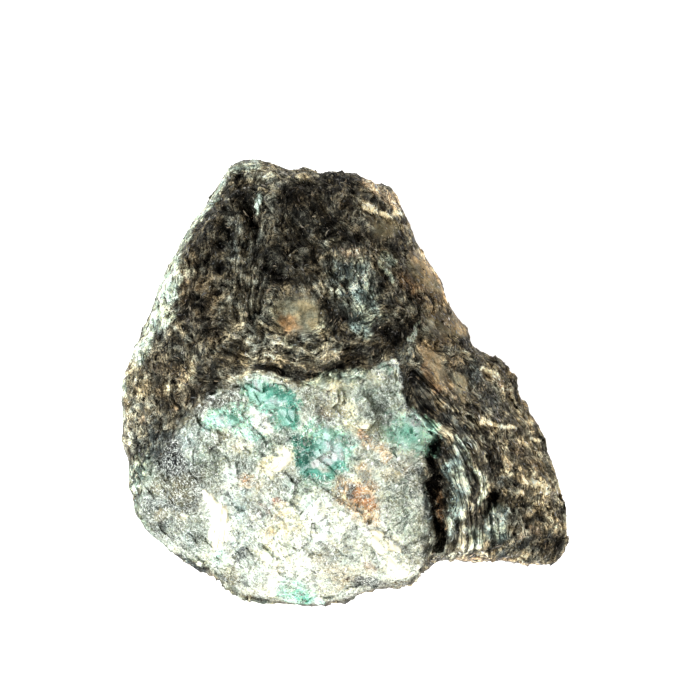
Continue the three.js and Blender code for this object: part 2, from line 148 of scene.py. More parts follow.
# Brush strokes of colour on the front face, broad ones first: the colour, how well it covers, the radius and the
# points that the stroke follows. Some strokes are painted shade in the creases and hollows, and some are painted
# highlights along lit edges, ledges and rims.
STROKES = [
    ("ash", 0.8, 1.6, (-12.6, 25), (-9, 24.2), (-6, 23.8), (-3.6, 24)),
    ("tan_grey", 0.7, 1.0, (-8.8, 25.2), (-6.2, 24.6), (-4.6, 24.6), (-3.4, 23.8)),
    ("ash", 0.5, 1.6, (-10, 21), (-7.4, 20.4), (-6.6, 18)),
    ("biotite_brown", 0.8, 1.4, (-5.6, 21.6), (-3, 21.8), (-0.6, 21)),
    ("biotite_black", 0.8, 3.0, (-14, 21), (-8, 19), (-3, 18.4), (-2, 15), (-8, 14), (-14, 15)),
    ("biotite_black", 0.8, 2.2, (-5.4, 21.8), (-1.2, 21), (-0.4, 18), (1.2, 17)),
    ("mica_grey", 0.6, 0.7, (-3.8, 18.8), (-3.2, 17.8)),
    ("biotite_black", 0.7, 1.2, (-1.8, 23.4), (0, 22.8)),
    ("mica_grey", 0.7, 0.8, (2.2, 18.8), (2.6, 16.4)),
    ("biotite_black", 0.8, 1.6, (-17.4, 17.4), (-15.6, 18), (-14.8, 15.4)),
    ("mica_grey", 0.6, 1.4, (-12.8, 18.6), (-12.4, 16), (-12, 13.6)),
    ("slate", 0.6, 0.9, (-12.6, 17.6), (-12.2, 14)),
    ("biotite_brown", 0.8, 2.2, (-17.8, 12.4), (-16.6, 9), (-15.4, 6.6)),
    ("biotite_black", 0.8, 1.0, (-16.9, 10), (-16, 8), (-15.8, 6.4)),
    ("biotite_black", 0.7, 1.0, (-9.4, 15.6), (-8, 13.6), (-7.6, 11.8)),
    ("ash", 0.35, 2.0, (-12.4, 8), (-11, 5.4)),
    ("biotite_black", 0.5, 1.8, (-15.6, 3.4), (-12.8, 2.6)),
    ("mica_grey", 0.7, 2.6, (-21, 3.4), (-18.2, 4.4), (-17, 1.6)),
    ("tan_grey", 0.7, 1.2, (-23.8, 1.4), (-23.6, -0.6)),
    ("ash", 0.6, 1.8, (-24.6, -3), (-24.2, -7)),
    ("mica_grey", 0.6, 2.2, (-21.4, -4), (-20.6, -8.4), (-23, -11)),
    ("biotite_black", 0.8, 1.5, (-15.8, 1.2), (-15.2, -0.2), (-16.6, -1.4)),
    ("biotite_black", 0.8, 0.9, (-21, -1.6), (-20, -2.2), (-20.4, -3.4)),
    ("biotite_black", 0.7, 1.1, (-23.6, -9.6), (-23.8, -8)),
    ("slate", 0.8, 1.0, (-24.4, -11), (-23.2, -10.4), (-20.4, -9.4), (-20.8, -8.2)),
    ("biotite_brown", 0.6, 2.4, (-18.6, -0.8), (-19.6, 0.6)),
    ("pale_rim", 0.9, 0.6, (-13.5, 24.6), (-15.2, 22), (-17, 19.4), (-18.8, 16.6), (-20.1, 13.6)),
    ("pale_rim", 1.0, 1.6, (-20.2, 13.2), (-20.8, 11), (-21.2, 8.6)),
    ("pale_rim", 0.8, 0.9, (-21.8, 7.6), (-22.6, 5.4), (-24.2, 2.8)),
    ("tan_grey", 0.8, 0.8, (-24.6, 2.2), (-25.6, 0.2), (-25.7, -3), (-25.5, -7)),
    ("pale_rim", 0.5, 0.4, (-25.4, 0.6), (-25.9, -2), (-25.6, -5)),
    ("pale_rim", 0.7, 0.4, (-20.4, 6.8), (-21.6, 6.2)),
    ("slate", 0.7, 0.35, (-20.4, 9.6), (-20.2, 9)),
    ("slate", 0.7, 0.7, (-21.6, 6.8), (-21, 5.8)),
    ("biotite_black", 0.6, 0.5, (-22, 2.8), (-20.4, 4), (-19.4, 5.2)),
    ("tan_grey", 0.7, 0.6, (-18.4, 13.8), (-17.4, 12.6)),
    ("tan_grey", 0.6, 0.6, (-17.2, 3), (-17.4, 1)),
    ("tan_grey", 0.8, 0.55, (-19.9, -0.6), (-18.8, -0.3)),
    ("pink_tan", 0.9, 0.3, (-19.1, -2.9)),
    ("pink_tan", 0.8, 0.25, (-23.2, -4.1)),
    # Painted shade: black down the groove at the narrow end.
    ("biotite_black", 0.95, 0.85, (-11.8, 23.3), (-11.6, 21.5), (-10.9, 20), (-10.2, 18), (-9.8, 17)),
    ("ash", 0.8, 0.5, (-9.8, 24.8), (-9.6, 22.6)),
    ("pale_rim", 0.7, 0.25, (-9.5, 21.4), (-9.9, 19.6)),
    ("ash", 0.8, 0.25, (-9, 18.6), (-9.3, 17), (-9.8, 16)),
    ("ash", 0.7, 0.25, (-11, 17), (-10.7, 15.4), (-11.1, 13.8)),
    ("biotite_black", 0.9, 0.45, (-5.6, 22.9), (-5.4, 22.2)),
    ("biotite_black", 0.7, 0.7, (0, 24.4), (1.6, 23.8), (2.2, 22.8)),
    ("pink_tan", 0.9, 0.75, (2.8, 23.3), (4, 22.4), (5.4, 21.6), (6.2, 20.8)),
    ("biotite_black", 0.85, 0.5, (2.8, 21.4), (3.8, 21), (4.6, 20.5)),
    ("slate", 0.8, 0.45, (4.6, 22.9), (5.3, 22.5)),
    ("cream_glint", 0.85, 0.4, (2.6, 20.2), (3.8, 19.6), (5.2, 19.35), (6.6, 19.5)),
    ("biotite_black", 0.9, 0.55, (6.9, 19), (6.8, 17.4), (6.3, 16.4), (5, 16.2)),
    ("lens_brown", 0.95, 1.2, (4, 17.9), (5.3, 17.9)),
    ("mica_grey", 0.6, 0.7, (2.4, 18.8), (2.9, 17.4)),
    ("biotite_black", 0.85, 0.6, (5.6, 16), (6.4, 15.2), (6.7, 14.2)),
    ("ash", 0.7, 0.45, (6.9, 15.6), (7.1, 14.9)),
    ("ash", 0.7, 0.3, (-2.2, 15.6), (-1.4, 16.2), (-0.4, 16.3)),
    ("tan_grey", 0.7, 0.35, (-2.5, 14), (-1.7, 14.8)),
    ("ash", 0.7, 0.9, (-2.4, 11.6), (-0.8, 11.2), (0.2, 13.4)),
    ("blue_grey", 0.5, 2.5, (0.8, 12.4), (2, 10.2), (2.4, 7.6)),
    ("blue_grey", 0.8, 1.2, (1.3, 12.2), (2, 10.4), (2.2, 8.6), (1.9, 7)),
    ("slate", 0.7, 0.5, (0.4, 13.6), (0, 11.6), (0.4, 9.6)),
    ("blue_grey", 0.7, 0.8, (2.4, 6.6), (2.7, 5.8)),
    ("biotite_black", 0.75, 1.1, (3.9, 12.6), (5.1, 10.8), (4.9, 9.4)),
    ("mica_grey", 0.6, 1.0, (6.4, 9.2), (6.6, 7.6)),
    ("pink_tan", 0.8, 0.5, (0.1, 14.8), (1.4, 14.9)),
    ("tan_grey", 0.7, 0.5, (-0.8, 14.4), (0.2, 14)),
    ("pale_rim", 0.6, 0.6, (4.7, 14.4), (5.4, 13.9)),
    ("pale_rim", 0.7, 0.22, (4.2, 13.9), (4.9, 12.9), (5.6, 11.8)),
    ("pale_blue", 0.5, 0.7, (2, 12.2), (1.4, 11.2)),
    ("rust_dark", 0.6, 1.0, (7, 12.2), (7.8, 11.2), (8.5, 10.5)),
    ("lens_tan", 0.95, 1.1, (8.4, 14.6), (8.8, 13.4), (9.8, 12.2), (11.6, 10)),
    ("pink_tan", 0.8, 0.4, (9, 15.4), (10.2, 13.6), (11.6, 11.6), (12.6, 9.4)),
    ("cream_glint", 0.6, 0.25, (9.5, 15.2), (11.1, 12.7), (12.6, 10.2)),
    ("biotite_black", 0.8, 0.7, (7, 16.4), (7.3, 14.8), (6.9, 13)),
    ("lens_brown", 0.8, 0.8, (8, 13.2), (8.8, 12.2)),
    ("lens_brown", 0.7, 0.6, (10, 11.6), (10.8, 11)),
    ("biotite_black", 0.7, 0.45, (10.8, 10.2), (11.4, 9.8)),
    ("tan_grey", 0.8, 0.25, (8.4, 10.5), (10, 9.4), (12.4, 8.7)),
    ("lens_brown", 0.95, 1.5, (10, 7), (11.8, 6.6), (12.4, 5.2)),
    ("ash", 0.6, 0.8, (9.6, 6.8), (10.4, 5.6)),
    ("lens_tan", 0.85, 0.7, (12.4, 7.2), (13.4, 6.7), (14.3, 5.9)),
    ("biotite_black", 0.9, 0.6, (13.4, 4.8), (14.4, 4.7), (15.2, 4.2)),
    # Painted shade: black in the hollow beside the boss.
    ("biotite_black", 0.95, 1.5, (4.6, 6), (5.8, 5.6), (6.2, 4.4)),
    ("biotite_black", 0.9, 1.0, (6.4, 6), (7.4, 6.3), (8.6, 7)),
    ("pale_rim", 0.7, 0.25, (8.4, 6.8), (8, 5.6), (7.4, 5)),
    ("biotite_black", 0.8, 1.1, (-1.3, 9), (-0.7, 7.4), (-0.2, 6)),
    ("quartz_tan", 0.85, 1.1, (-7.2, 8.2), (-4.8, 8.6), (-3.4, 7.8), (-3, 6.6)),
    ("quartz_tan", 0.8, 1.5, (-6.6, 7.4), (-5, 7)),
    ("rust", 0.55, 0.9, (-6.3, 7), (-5.5, 5.9)),
    ("rust_dark", 0.5, 0.45, (-7, 7.8), (-6.8, 7.2)),
    ("ash", 0.8, 1.3, (-8.6, 4.2), (-6, 3.7), (-2.4, 3.3), (-1, 3.7)),
    ("biotite_black", 0.8, 0.9, (-0.2, 5.6), (1.2, 4.8)),
    ("tan_grey", 0.7, 0.45, (-9, 3), (-6.6, 2.4), (-3.6, 2.3), (-1.3, 2.8), (0.2, 3.8)),
    ("pale_rim", 0.6, 0.4, (-6.6, 5), (-6, 4.4)),
    # Painted shadow: a black band along the furrow over the pod.
    ("biotite_black", 0.9, 0.6, (-9.6, 1.9), (-6.6, 1.4), (-3.6, 1.2), (-1.2, 1.8), (0.6, 2.8), (2.4, 3.6), (4, 4)),
    ("slate", 0.8, 1.0, (6.9, 3.4), (7.4, 2.4)),
    ("ash", 0.7, 0.4, (7.6, 4.2), (6.6, 3.6), (7, 2.4), (8.2, 2)),
    ("biotite_black", 0.9, 1.1, (7.3, 1.2), (8.3, 0.2), (8.6, -1.4), (9.4, -2.6)),
    ("biotite_black", 0.7, 0.8, (10, -3), (11.2, -3.8)),
    ("lens_tan", 0.9, 1.0, (9.2, 4), (10, 3), (10.5, 1.6)),
    ("rust_dark", 0.6, 0.5, (9.1, 2.2), (9.8, 0.6), (10.6, -0.8)),
    ("lens_tan", 0.8, 0.8, (11.4, 0.6), (12.2, -0.8)),
    ("biotite_brown", 0.7, 1.0, (10.6, 5.6), (12, 4.6)),
    ("mica_grey", 0.7, 1.1, (11.8, 3.4), (13.2, 2.8)),
    ("slate", 0.9, 1.0, (14.6, 2.4), (15.1, 0.6)),
    ("ash", 0.8, 0.2, (12.4, 4), (13.8, 3.8), (14.8, 2.8)),
    ("quartz_tan", 0.7, 0.8, (13.1, 0.6), (13.5, -0.4)),
    ("pink_tan", 0.8, 0.2, (12.7, -1.5)),
    ("biotite_black", 0.8, 0.9, (12.8, -2.5), (14.6, -3.4)),
    ("tan_grey", 0.8, 0.7, (16.4, 1.8), (18.4, 0.2), (20.2, -2.6), (21.4, -4.6)),
    ("cream_glint", 0.95, 0.35, (16.1, 1.7), (17, 1.2), (17.8, 0.8)),
    ("pink_tan", 0.8, 0.4, (17.6, 0.6), (18.6, -0.3), (19.3, -1.3)),
    ("biotite_black", 0.6, 0.6, (18.8, 1.3), (20, -0.8), (21.4, -3.2)),
    ("mica_grey", 0.8, 1.5, (16.2, -1), (17.8, -2.4), (19.4, -2.8)),
    ("slate", 0.6, 1.0, (16.4, -2), (18, -2.6)),
    ("cream_glint", 0.95, 0.28, (15.8, -4.3), (17, -4.7), (18.2, -4.9), (19.6, -5)),
    ("biotite_black", 0.75, 1.1, (15.4, -5.6), (16.6, -7), (17, -9.4)),
    ("tan_grey", 0.8, 0.5, (17.2, -5.8), (18.4, -6.6), (18.2, -8.6)),
    ("biotite_brown", 0.6, 1.2, (20, -7.6), (22, -9.2)),
    ("tan_grey", 0.8, 0.5, (19.6, -6.2), (21.4, -7), (22.6, -8.6)),
    ("tan_grey", 0.8, 0.6, (20.6, -4), (21.6, -5.5)),
    ("cream_glint", 0.8, 0.22, (22, -6.4), (23, -6.7)),
    ("tan_grey", 0.9, 0.9, (19, -9.8), (21.4, -10.8), (24, -12.8)),
    ("cream_glint", 0.95, 0.45, (20.8, -11.1), (22, -11.6), (23.2, -12.4)),
    ("tan_grey", 0.9, 0.3, (18.2, -12.2), (19.6, -12.8), (21, -13.6), (22.8, -13.9)),
    ("slate", 0.7, 0.8, (18.4, -11), (20, -12.3)),
    ("ash", 0.8, 0.35, (11.4, -2.3), (13.4, -3), (15, -4.6), (15.8, -6.4), (16.4, -8.6)),
    ("slate", 0.8, 0.6, (11.8, -3.9), (13.2, -5), (14.4, -6.4)),
    ("blue_grey", 0.9, 1.1, (12.7, -7.6), (13.2, -10), (13.2, -12.4), (12.6, -15)),
    ("ash", 0.8, 0.3, (10.4, -4.6), (12.2, -5.8)),
    ("pale_rim", 0.7, 0.25, (12.6, -5.9), (13.8, -7.4), (14.5, -9.2)),
    ("pale_rim", 0.8, 0.35, (14.9, -9.8), (15.8, -11), (16.1, -12.4), (15.5, -13.6)),
    ("biotite_black", 0.8, 0.4, (12.9, -6.8), (13.9, -8.6), (14.3, -10.4), (15, -12.2), (14.8, -14)),
    ("pale_blue", 0.5, 0.3, (12.5, -7), (13.3, -8.4), (13.6, -10)),
    ("pale_blue", 0.5, 0.4, (13.2, -11), (13.8, -12.6), (13.2, -14.4), (12.4, -15.8), (12.3, -17.4)),
    ("ash", 0.8, 0.5, (14.6, -13.8), (13.8, -15.6), (13.6, -17.6)),
    ("mica_grey", 0.6, 0.9, (15, -15.4), (15.2, -18)),
    # Painted shade: black down the cleft beside the pod.
    ("biotite_black", 0.95, 1.1, (10.7, -6.9), (11.7, -7.6)),
    ("biotite_black", 0.95, 0.7, (9.9, -8.6), (10.5, -10.2), (10, -12), (10.8, -13.6), (10.5, -15.2), (11.4, -17.6)),
    ("biotite_black", 0.8, 0.5, (11.3, -11.4), (11.4, -14), (11.3, -16)),
    ("blue_grey", 0.8, 0.5, (11.5, -9.2), (11.8, -10.4)),
    ("rust_dark", 0.6, 0.3, (10.9, -12), (10.8, -14.6), (11.2, -16.6)),
    ("biotite_black", 0.7, 0.3, (12.8, -15.4), (12.6, -18)),
    # Painted shade: black in the notch under the crest.
    ("biotite_black", 0.95, 0.55, (17.1, -12.6), (16.6, -13.6), (16.5, -14.9)),
    ("mica_grey", 0.7, 1.4, (19, -14), (20.4, -14.6)),
    ("blue_grey", 0.9, 1.2, (17.6, -14.8), (17.4, -17)),
    ("ash", 0.7, 0.6, (19.4, -14.2), (19, -16)),
    ("biotite_brown", 0.7, 0.6, (20.8, -15.6), (19.8, -16.8)),
    ("tan_grey", 0.6, 0.8, (22.8, -14.6), (24.4, -15.8), (25.2, -17.4)),
    ("slate", 0.85, 1.1, (17.8, -19.1), (20.4, -18.7), (22, -18.8)),
    ("biotite_black", 0.85, 1.0, (23, -18.2), (25, -18.5)),
    ("pink_tan", 0.9, 0.35, (20.2, -17.3), (21.4, -16.9), (22.4, -17)),
    ("biotite_black", 0.8, 0.2, (20.8, -17.4), (21.3, -17.1)),
    ("tan_grey", 0.8, 0.22, (16.6, -19.3), (17.6, -18.8), (18.6, -18.3), (19.8, -17.9)),
    ("cream_glint", 0.9, 0.4, (20.4, -19.6)),
    ("mica_grey", 0.7, 0.6, (20.6, -20.2), (24, -20)),
    ("ash", 0.8, 1.0, (9.6, -17.6), (10, -19.2), (12.2, -19.6), (14.6, -18.6)),
    ("slate", 0.6, 0.5, (9, -19.4), (9.4, -20.6)),
    ("pink_tan", 0.9, 0.6, (13, -20.6), (14.8, -20.7), (16.4, -20.6)),
    ("cream_glint", 0.8, 0.4, (15.2, -19.4), (16.1, -19.8)),
    ("pink_tan", 0.8, 0.5, (18.6, -20.9), (20.4, -21), (22.4, -21.2)),
    ("pale_rim", 0.6, 0.8, (-13, 25), (-10.4, 25.4)),
    ("biotite_black", 0.8, 1.3, (-6.2, 20.6), (-4.4, 19.6)),
    ("biotite_black", 0.8, 1.2, (-1, 24.2), (1, 23)),
    ("biotite_brown", 0.7, 1.2, (10, 9.6), (12.2, 7.6)),
    ("biotite_brown", 0.6, 0.9, (12.6, 2.4), (13.4, 2.2)),
    ("biotite_black", 0.6, 1.1, (-9.4, 18.6), (-8.6, 16.8)),
    ("biotite_black", 0.6, 1.1, (-15.6, 13.2), (-14.2, 11.4)),
    ("biotite_black", 0.6, 0.8, (-2.8, 15.4), (-2, 13.6)),
    ("biotite_black", 0.6, 1.2, (-18, 8), (-17, 6.6)),
    ("ash", 0.4, 1.1, (-10.4, 10.6), (-10, 8), (-10, 5)),
    ("tan_grey", 0.8, 0.9, (-10.8, 2.9), (-9, 3.1), (-6.8, 2.8)),
    ("ash", 0.8, 0.9, (-6, 5.2), (-4.4, 5)),
    ("ash", 0.6, 0.9, (-10.6, 5.6), (-9.8, 4.4)),
    ("olive", 0.8, 0.7, (-3.6, -0.2), (-1.6, 0.2)),
    ("cream_glint", 0.8, 0.4, (19.2, -12.1), (20.6, -12.7)),
    ("pale_blue", 0.7, 0.9, (17.2, -15.6), (18.2, -14.8)),
    ("mica_grey", 0.8, 1.0, (19.4, -15.6), (20.2, -16.6)),
    ("tan_grey", 0.9, 0.8, (24.4, -11.8), (25.4, -13.4)),
    ("ash", 0.7, 0.35, (14.2, -5.6), (14.9, -7.6), (15.2, -9.4)),
    ("pale_rim", 0.7, 0.8, (14.7, -16.8), (15.2, -18)),
    ("tan_grey", 0.9, 0.6, (19.4, -19.9), (20.8, -19.8)),

    ("grey_green", 0.8, 2.8, (-22, -11), (-20.4, -13), (-21, -15.6), (-17.6, -17.6)),
    ("slate", 0.8, 1.8, (-20.6, -5.6), (-19.6, -8.8), (-18.4, -10.4)),
    ("mica_grey", 0.7, 1.4, (-18, -4), (-16.4, -2.8), (-14, -1.2), (-12.6, -0.4)),
    ("grey_green", 0.7, 2.2, (-16.4, -6), (-15.6, -9)),
    ("mica_grey", 0.5, 2.4, (-20.4, -6), (-18.6, -9.4), (-18, -12.4)),
    ("quartz_grey", 0.6, 1.8, (-22.6, -13.6), (-21, -16.4), (-19.8, -18.2)),
    ("pale_blue", 0.8, 1.0, (-18.2, -5.8), (-17.4, -8)),
    ("ash", 0.6, 0.5, (-20.6, -6.8), (-20.2, -7.4)),
    ("olive", 0.75, 0.9, (-13.9, -6), (-14.8, -8), (-15.6, -9.4)),
    ("pale_blue", 0.6, 0.7, (-16.4, -5.2), (-15.4, -5.3)),
    ("feldspar_white", 0.7, 0.4, (-15.1, -6.6), (-14.4, -6.2)),
    ("biotite_black", 0.6, 0.7, (-20.2, -8.6), (-19.6, -9)),
    ("olive", 0.9, 0.9, (-19.4, -12.8), (-18, -11.2), (-16.8, -11)),
    ("beige", 0.8, 0.6, (-21.5, -12)),
    ("pale_blue", 0.5, 0.5, (-22.8, -11.5)),
    ("biotite_black", 0.6, 0.35, (-19.8, -13.6), (-19.5, -14.2)),
    ("feldspar_white", 0.8, 0.5, (-21.8, -13.7), (-20.9, -13.6)),
    ("feldspar_cream", 0.8, 0.6, (-21.8, -15.4), (-19.8, -15), (-18.4, -15.3)),
    ("grey_green", 0.9, 1.0, (-24.2, -14.8), (-23.2, -15.4), (-22.6, -16.6)),
    ("rust_dark", 0.4, 0.4, (-22.2, -16.4), (-22, -17)),
    ("quartz_grey", 0.8, 0.8, (-16.8, -18.4), (-16.3, -16.6), (-17.2, -15.4)),
    ("pale_blue", 0.7, 0.8, (-18.7, -17.9), (-17.9, -17.5)),
    ("feldspar_white", 0.5, 0.8, (-20.4, -18.2), (-19, -19)),
    ("slate", 0.9, 0.55, (-19.4, -20.2), (-18, -20.9), (-16.4, -21.6)),
    ("feldspar_white", 0.9, 0.45, (-16.8, -20.8)),
    ("beige", 0.7, 0.3, (-13, 0.3), (-11.6, 0.9), (-9.8, 1.3), (-7.8, 1), (-5.6, 0)),
    ("quartz_grey", 0.8, 0.7, (-12.6, -1.1), (-11.3, -0.7)),
    ("grey_green", 0.6, 1.0, (-14, -1.6), (-12.4, -2.2)),
    ("grey_green", 0.6, 2.0, (-16, -8.6), (-13.4, -9)),
    ("mint", 0.85, 1.3, (-14.8, -4), (-13.4, -3.8), (-12.2, -4.4)),
    ("icy", 0.7, 0.6, (-14.4, -4.2), (-13.4, -4.3)),
    ("emerald_green", 0.6, 0.5, (-13, -3.5), (-12.3, -3.8)),
    ("feldspar_white", 0.7, 0.6, (-12.9, -5), (-11.8, -5.1)),
    ("mica_grey", 0.7, 0.7, (-16, -2.4), (-13.8, -1.9), (-12.4, -1.6)),
    ("mint", 0.9, 1.5, (-10.1, -0.6), (-9, -1.8), (-9.6, -2.4)),
    ("icy", 0.7, 0.4, (-10, 0.2), (-9.4, -0.6)),
    ("mint", 0.8, 1.0, (-11.6, -3), (-12.4, -4.4)),
    ("emerald_green", 0.95, 1.2, (-8, -0.9), (-6.8, -1.2), (-5.9, -2.2)),
    ("emerald_green", 0.95, 1.1, (-6.6, -2.8), (-6.2, -4.4)),
    ("feldspar_white", 0.95, 1.6, (-9.8, -4.2), (-9, -5)),
    ("mint", 0.95, 0.9, (-8.8, -2.6), (-7.6, -3), (-7.2, -4.4)),
    ("icy", 0.6, 0.4, (-8, -1.8), (-6.8, -2.2)),
    ("deep_green", 0.5, 0.3, (-7.2, -3.2), (-6.9, -3.9)),
    ("mint", 0.8, 0.8, (-11.2, -4.4), (-10.6, -5.9), (-9, -6.6)),
    ("beige", 0.6, 1.0, (-12, -7.1), (-10.8, -7.4)),
    ("quartz_grey", 0.7, 1.2, (-11.8, -9), (-10.6, -8.8)),
    ("grey_green", 0.85, 1.0, (-10, -7.7), (-8.4, -6.9), (-6.2, -5.9)),
    ("feldspar_cream", 0.95, 1.1, (-8.6, -9.6), (-7.6, -8.8), (-6.2, -7.8)),
    ("olive", 0.75, 1.0, (-3.8, -1.6), (-2.7, -2.6), (-2.4, -3.4)),
    ("grey_green", 0.7, 1.0, (-4.2, -0.9), (-1.8, 0.4), (2, 0.9)),
    ("rust_dark", 0.6, 0.3, (-2.4, -2.8), (-1.8, -3.9)),
    ("feldspar_cream", 0.9, 1.2, (-0.8, -0.9), (-1, -2.5), (0.4, -3.3)),
    ("grey_green", 0.8, 1.4, (2.8, -1), (4.2, -1.8), (3.4, -3.4)),
    ("slate", 0.6, 0.5, (4.6, -2.2), (5, -2.9)),
    ("grey_green", 0.7, 0.9, (5, 0.8), (5.4, -0.8), (5.6, -2.6)),
    ("biotite_black", 0.9, 0.9, (7, 1.8), (7.4, -0.8), (7.8, -2.2), (9.4, -3.4)),
    ("deep_green", 0.6, 0.5, (4.7, 2), (5.1, 1.6)),
    ("feldspar_white", 0.6, 0.35, (5.7, 2.5), (6.1, 1.5)),
    ("feldspar_cream", 0.8, 0.8, (1, -4.4), (2.2, -4.6)),
    ("rust", 0.7, 0.6, (2, -5.6), (2.6, -6.2)),
    ("olive", 0.8, 0.9, (3.4, -5.6), (4.8, -5.4)),
    ("rust_pale", 0.7, 0.6, (2.6, -6.9), (4.2, -7.2), (4.8, -8.2)),
    ("mint", 0.75, 2.0, (6.6, -5.4), (8.6, -6)),
    ("icy", 0.7, 0.7, (7.8, -4), (8.7, -4.5)),
    ("emerald_green", 0.6, 0.7, (7.2, -5.2), (7.8, -6.2)),
    ("mint", 0.9, 1.5, (-3.4, -5.4), (-2.2, -6.2), (-0.6, -6.6), (0, -7.4)),
    ("emerald_green", 0.6, 0.8, (-3.6, -6.6), (-2.6, -7.4)),
    ("deep_green", 0.95, 1.1, (-4.9, -6.6), (-4.4, -7.4), (-4.6, -8.8)),
    ("deep_green", 0.9, 0.8, (-4.2, -9.2), (-3.4, -9.9)),
    ("feldspar_white", 0.8, 0.45, (-3.4, -9), (-2.8, -8.8)),
    ("icy", 0.95, 0.9, (-1.8, -8.4), (-0.7, -8.5)),
    ("icy", 0.6, 0.9, (-1.6, -7.2), (-0.2, -9.2)),
    ("emerald_green", 0.85, 0.8, (-4.4, -10.4), (-2.6, -10.7), (-1, -10), (-0.3, -9.4)),
    ("grey_green", 0.85, 0.8, (1, -8.6), (1.6, -9.7)),
    ("feldspar_white", 0.8, 0.3, (2.6, -8.4), (2.7, -9.6)),
    ("mint", 0.5, 0.9, (-4.6, -11.7), (-1.6, -11.9)),
    ("grey_green", 0.75, 1.2, (-5.6, -11.4), (-4, -12), (-2.6, -11.8)),
    ("quartz_grey", 0.7, 0.9, (-7.4, -11.2), (-6.8, -12.4)),
    ("beige", 0.7, 1.0, (-0.2, -11), (-0.4, -12.6)),
    ("rust_pale", 0.85, 1.6, (0.4, -12), (1.6, -13.2), (2.6, -14.6)),
    ("rust", 0.6, 0.8, (1.5, -12.5), (2.3, -13.1)),
    ("rust", 0.55, 0.5, (2.8, -11.5), (3.5, -11.4)),
    ("slate", 0.9, 0.45, (0.9, -11.6), (0.7, -12.3)),
    ("red_brown", 0.9, 0.5, (-7.4, -13.2), (-7.2, -14.6)),
    ("rust_pale", 0.8, 0.7, (-11.5, -10.8), (-10.6, -11.2)),
    ("rust", 0.5, 0.4, (-11.4, -10.8)),
    ("beige", 0.7, 0.6, (-10.4, -11.6), (-9.4, -11)),
    ("red_brown", 0.6, 0.4, (-9.3, -13.6), (-8.8, -14.4)),
    ("quartz_grey", 0.8, 0.8, (-15.4, -11.5), (-14.4, -12.2)),
    ("feldspar_white", 0.8, 0.9, (-13.4, -11.6), (-12.6, -13)),
    ("pale_blue", 0.85, 1.5, (-11.6, -13.6), (-11.2, -16), (-11.6, -18)),
    ("icy", 0.8, 0.8, (-14.4, -19.9), (-13.9, -20.7)),
    ("slate", 0.8, 0.6, (-12.4, -19.9), (-11.4, -19.3)),
    ("quartz_grey", 0.7, 0.8, (-10.8, -20.5), (-9.4, -20.6)),
    ("olive", 0.8, 1.1, (-13.7, -21.7), (-12.6, -22.2), (-13.6, -23.4)),
    ("slate", 0.6, 0.5, (-14.2, -22.6), (-14, -23.6)),
    ("quartz_grey", 0.7, 0.5, (-9.8, -22.2), (-9.9, -23.2), (-11.4, -23.2), (-11.6, -22.2)),
    ("feldspar_white", 0.8, 0.5, (-10.5, -22.7)),
    ("feldspar_cream", 0.8, 1.8, (-5.6, -15.4), (-7.4, -17), (-7, -19.8)),
    ("rust_pale", 0.5, 0.4, (-8.7, -17.2), (-8.2, -16.8)),
    ("feldspar_white", 0.7, 2.0, (-3.4, -14.6), (-1, -16), (1.4, -17.4)),
    ("feldspar_white", 0.6, 2.2, (-7, -22), (-4.4, -21.6), (-4, -18)),
    ("quartz_grey", 0.55, 0.9, (0.4, -17.4), (0.8, -19.4), (-1, -20)),
    ("beige", 0.6, 1.0, (-2.8, -19.8), (-0.6, -21.4)),
    ("beige", 0.7, 0.9, (0.6, -22), (-0.8, -23.2)),
    ("red_brown", 0.6, 0.5, (2.6, -20.6), (3.4, -21)),
    ("slate", 0.8, 0.75, (1.8, -22.9), (3.2, -22.5), (3.9, -23.4)),
    ("grey_green", 0.75, 1.8, (5.6, -11.8), (6.6, -13.6), (7.4, -16)),
    ("beige", 0.5, 1.0, (5.2, -10.4), (6.8, -9.4)),
    ("quartz_grey", 0.8, 0.8, (8.2, -10.4), (8.6, -12.6), (9, -15.4)),
    ("slate", 0.7, 0.45, (8.6, -9.6), (9.2, -12), (9.5, -15)),
    ("mint", 0.8, 1.3, (-6.6, -23.8), (-5.4, -24), (-4.6, -24.6)),
    ("emerald_green", 0.9, 0.7, (-5.2, -24.4), (-4.6, -25)),
    ("icy", 0.95, 0.5, (-3.4, -24.2), (-3, -25.4)),
    ("quartz_grey", 0.8, 0.5, (-12.6, -24.9), (-10.4, -25.6), (-8, -25.9)),
    ("mica_grey", 0.7, 0.45, (-8, -26), (-3.6, -26), (-0.4, -25.7)),
    ("mica_grey", 0.85, 0.7, (0.2, -25.2), (2.6, -24.6), (5, -24)),
    ("mica_grey", 0.8, 0.6, (6.6, -23.9), (8.4, -23), (10, -21.8)),
    ("slate", 0.6, 2.4, (-21.4, -7.6), (-18.2, -11), (-18.8, -13), (-21.8, -14.6)),
    ("olive", 0.5, 1.4, (-21.2, -11.6), (-18.6, -12.4)),
    ("rust", 0.8, 0.9, (2, -12.2), (2.8, -13.4)),
    ("red_brown", 0.7, 0.5, (2.4, -12.4)),
    ("biotite_black", 0.5, 0.8, (2.2, -22.4), (3, -22.8)),
    ("red_brown", 0.8, 0.7, (-7.4, -13.4), (-7.2, -15)),
    ("quartz_grey", 0.7, 0.45, (1.4, -16.6), (3, -19.2), (4.4, -21.6)),
    ("slate", 0.6, 0.3, (3.4, -16.4), (5.4, -17.4), (7.2, -19.2)),
    ("slate", 0.3, 1.6, (-20.6, -16.4), (-18.4, -18)),
    ("feldspar_white", 0.8, 0.8, (-12.7, -9.6), (-12.4, -10.7)),
    ("feldspar_white", 0.7, 0.8, (-10.2, -14.4), (-9.8, -15.8)),
    ("feldspar_white", 0.7, 0.8, (-2.8, -12.6), (-1.8, -13.2)),
    ("rust_pale", 0.6, 0.8, (2.2, -9.8), (2.8, -12)),
    ("slate", 0.6, 0.7, (8.2, -9.4), (7.2, -10.2)),
    ("mica_grey", 0.6, 0.7, (4.6, -23.2), (7.4, -22.7)),
    ("feldspar_cream", 0.7, 1.2, (-6.8, -14.6), (-5.6, -16.4)),
]

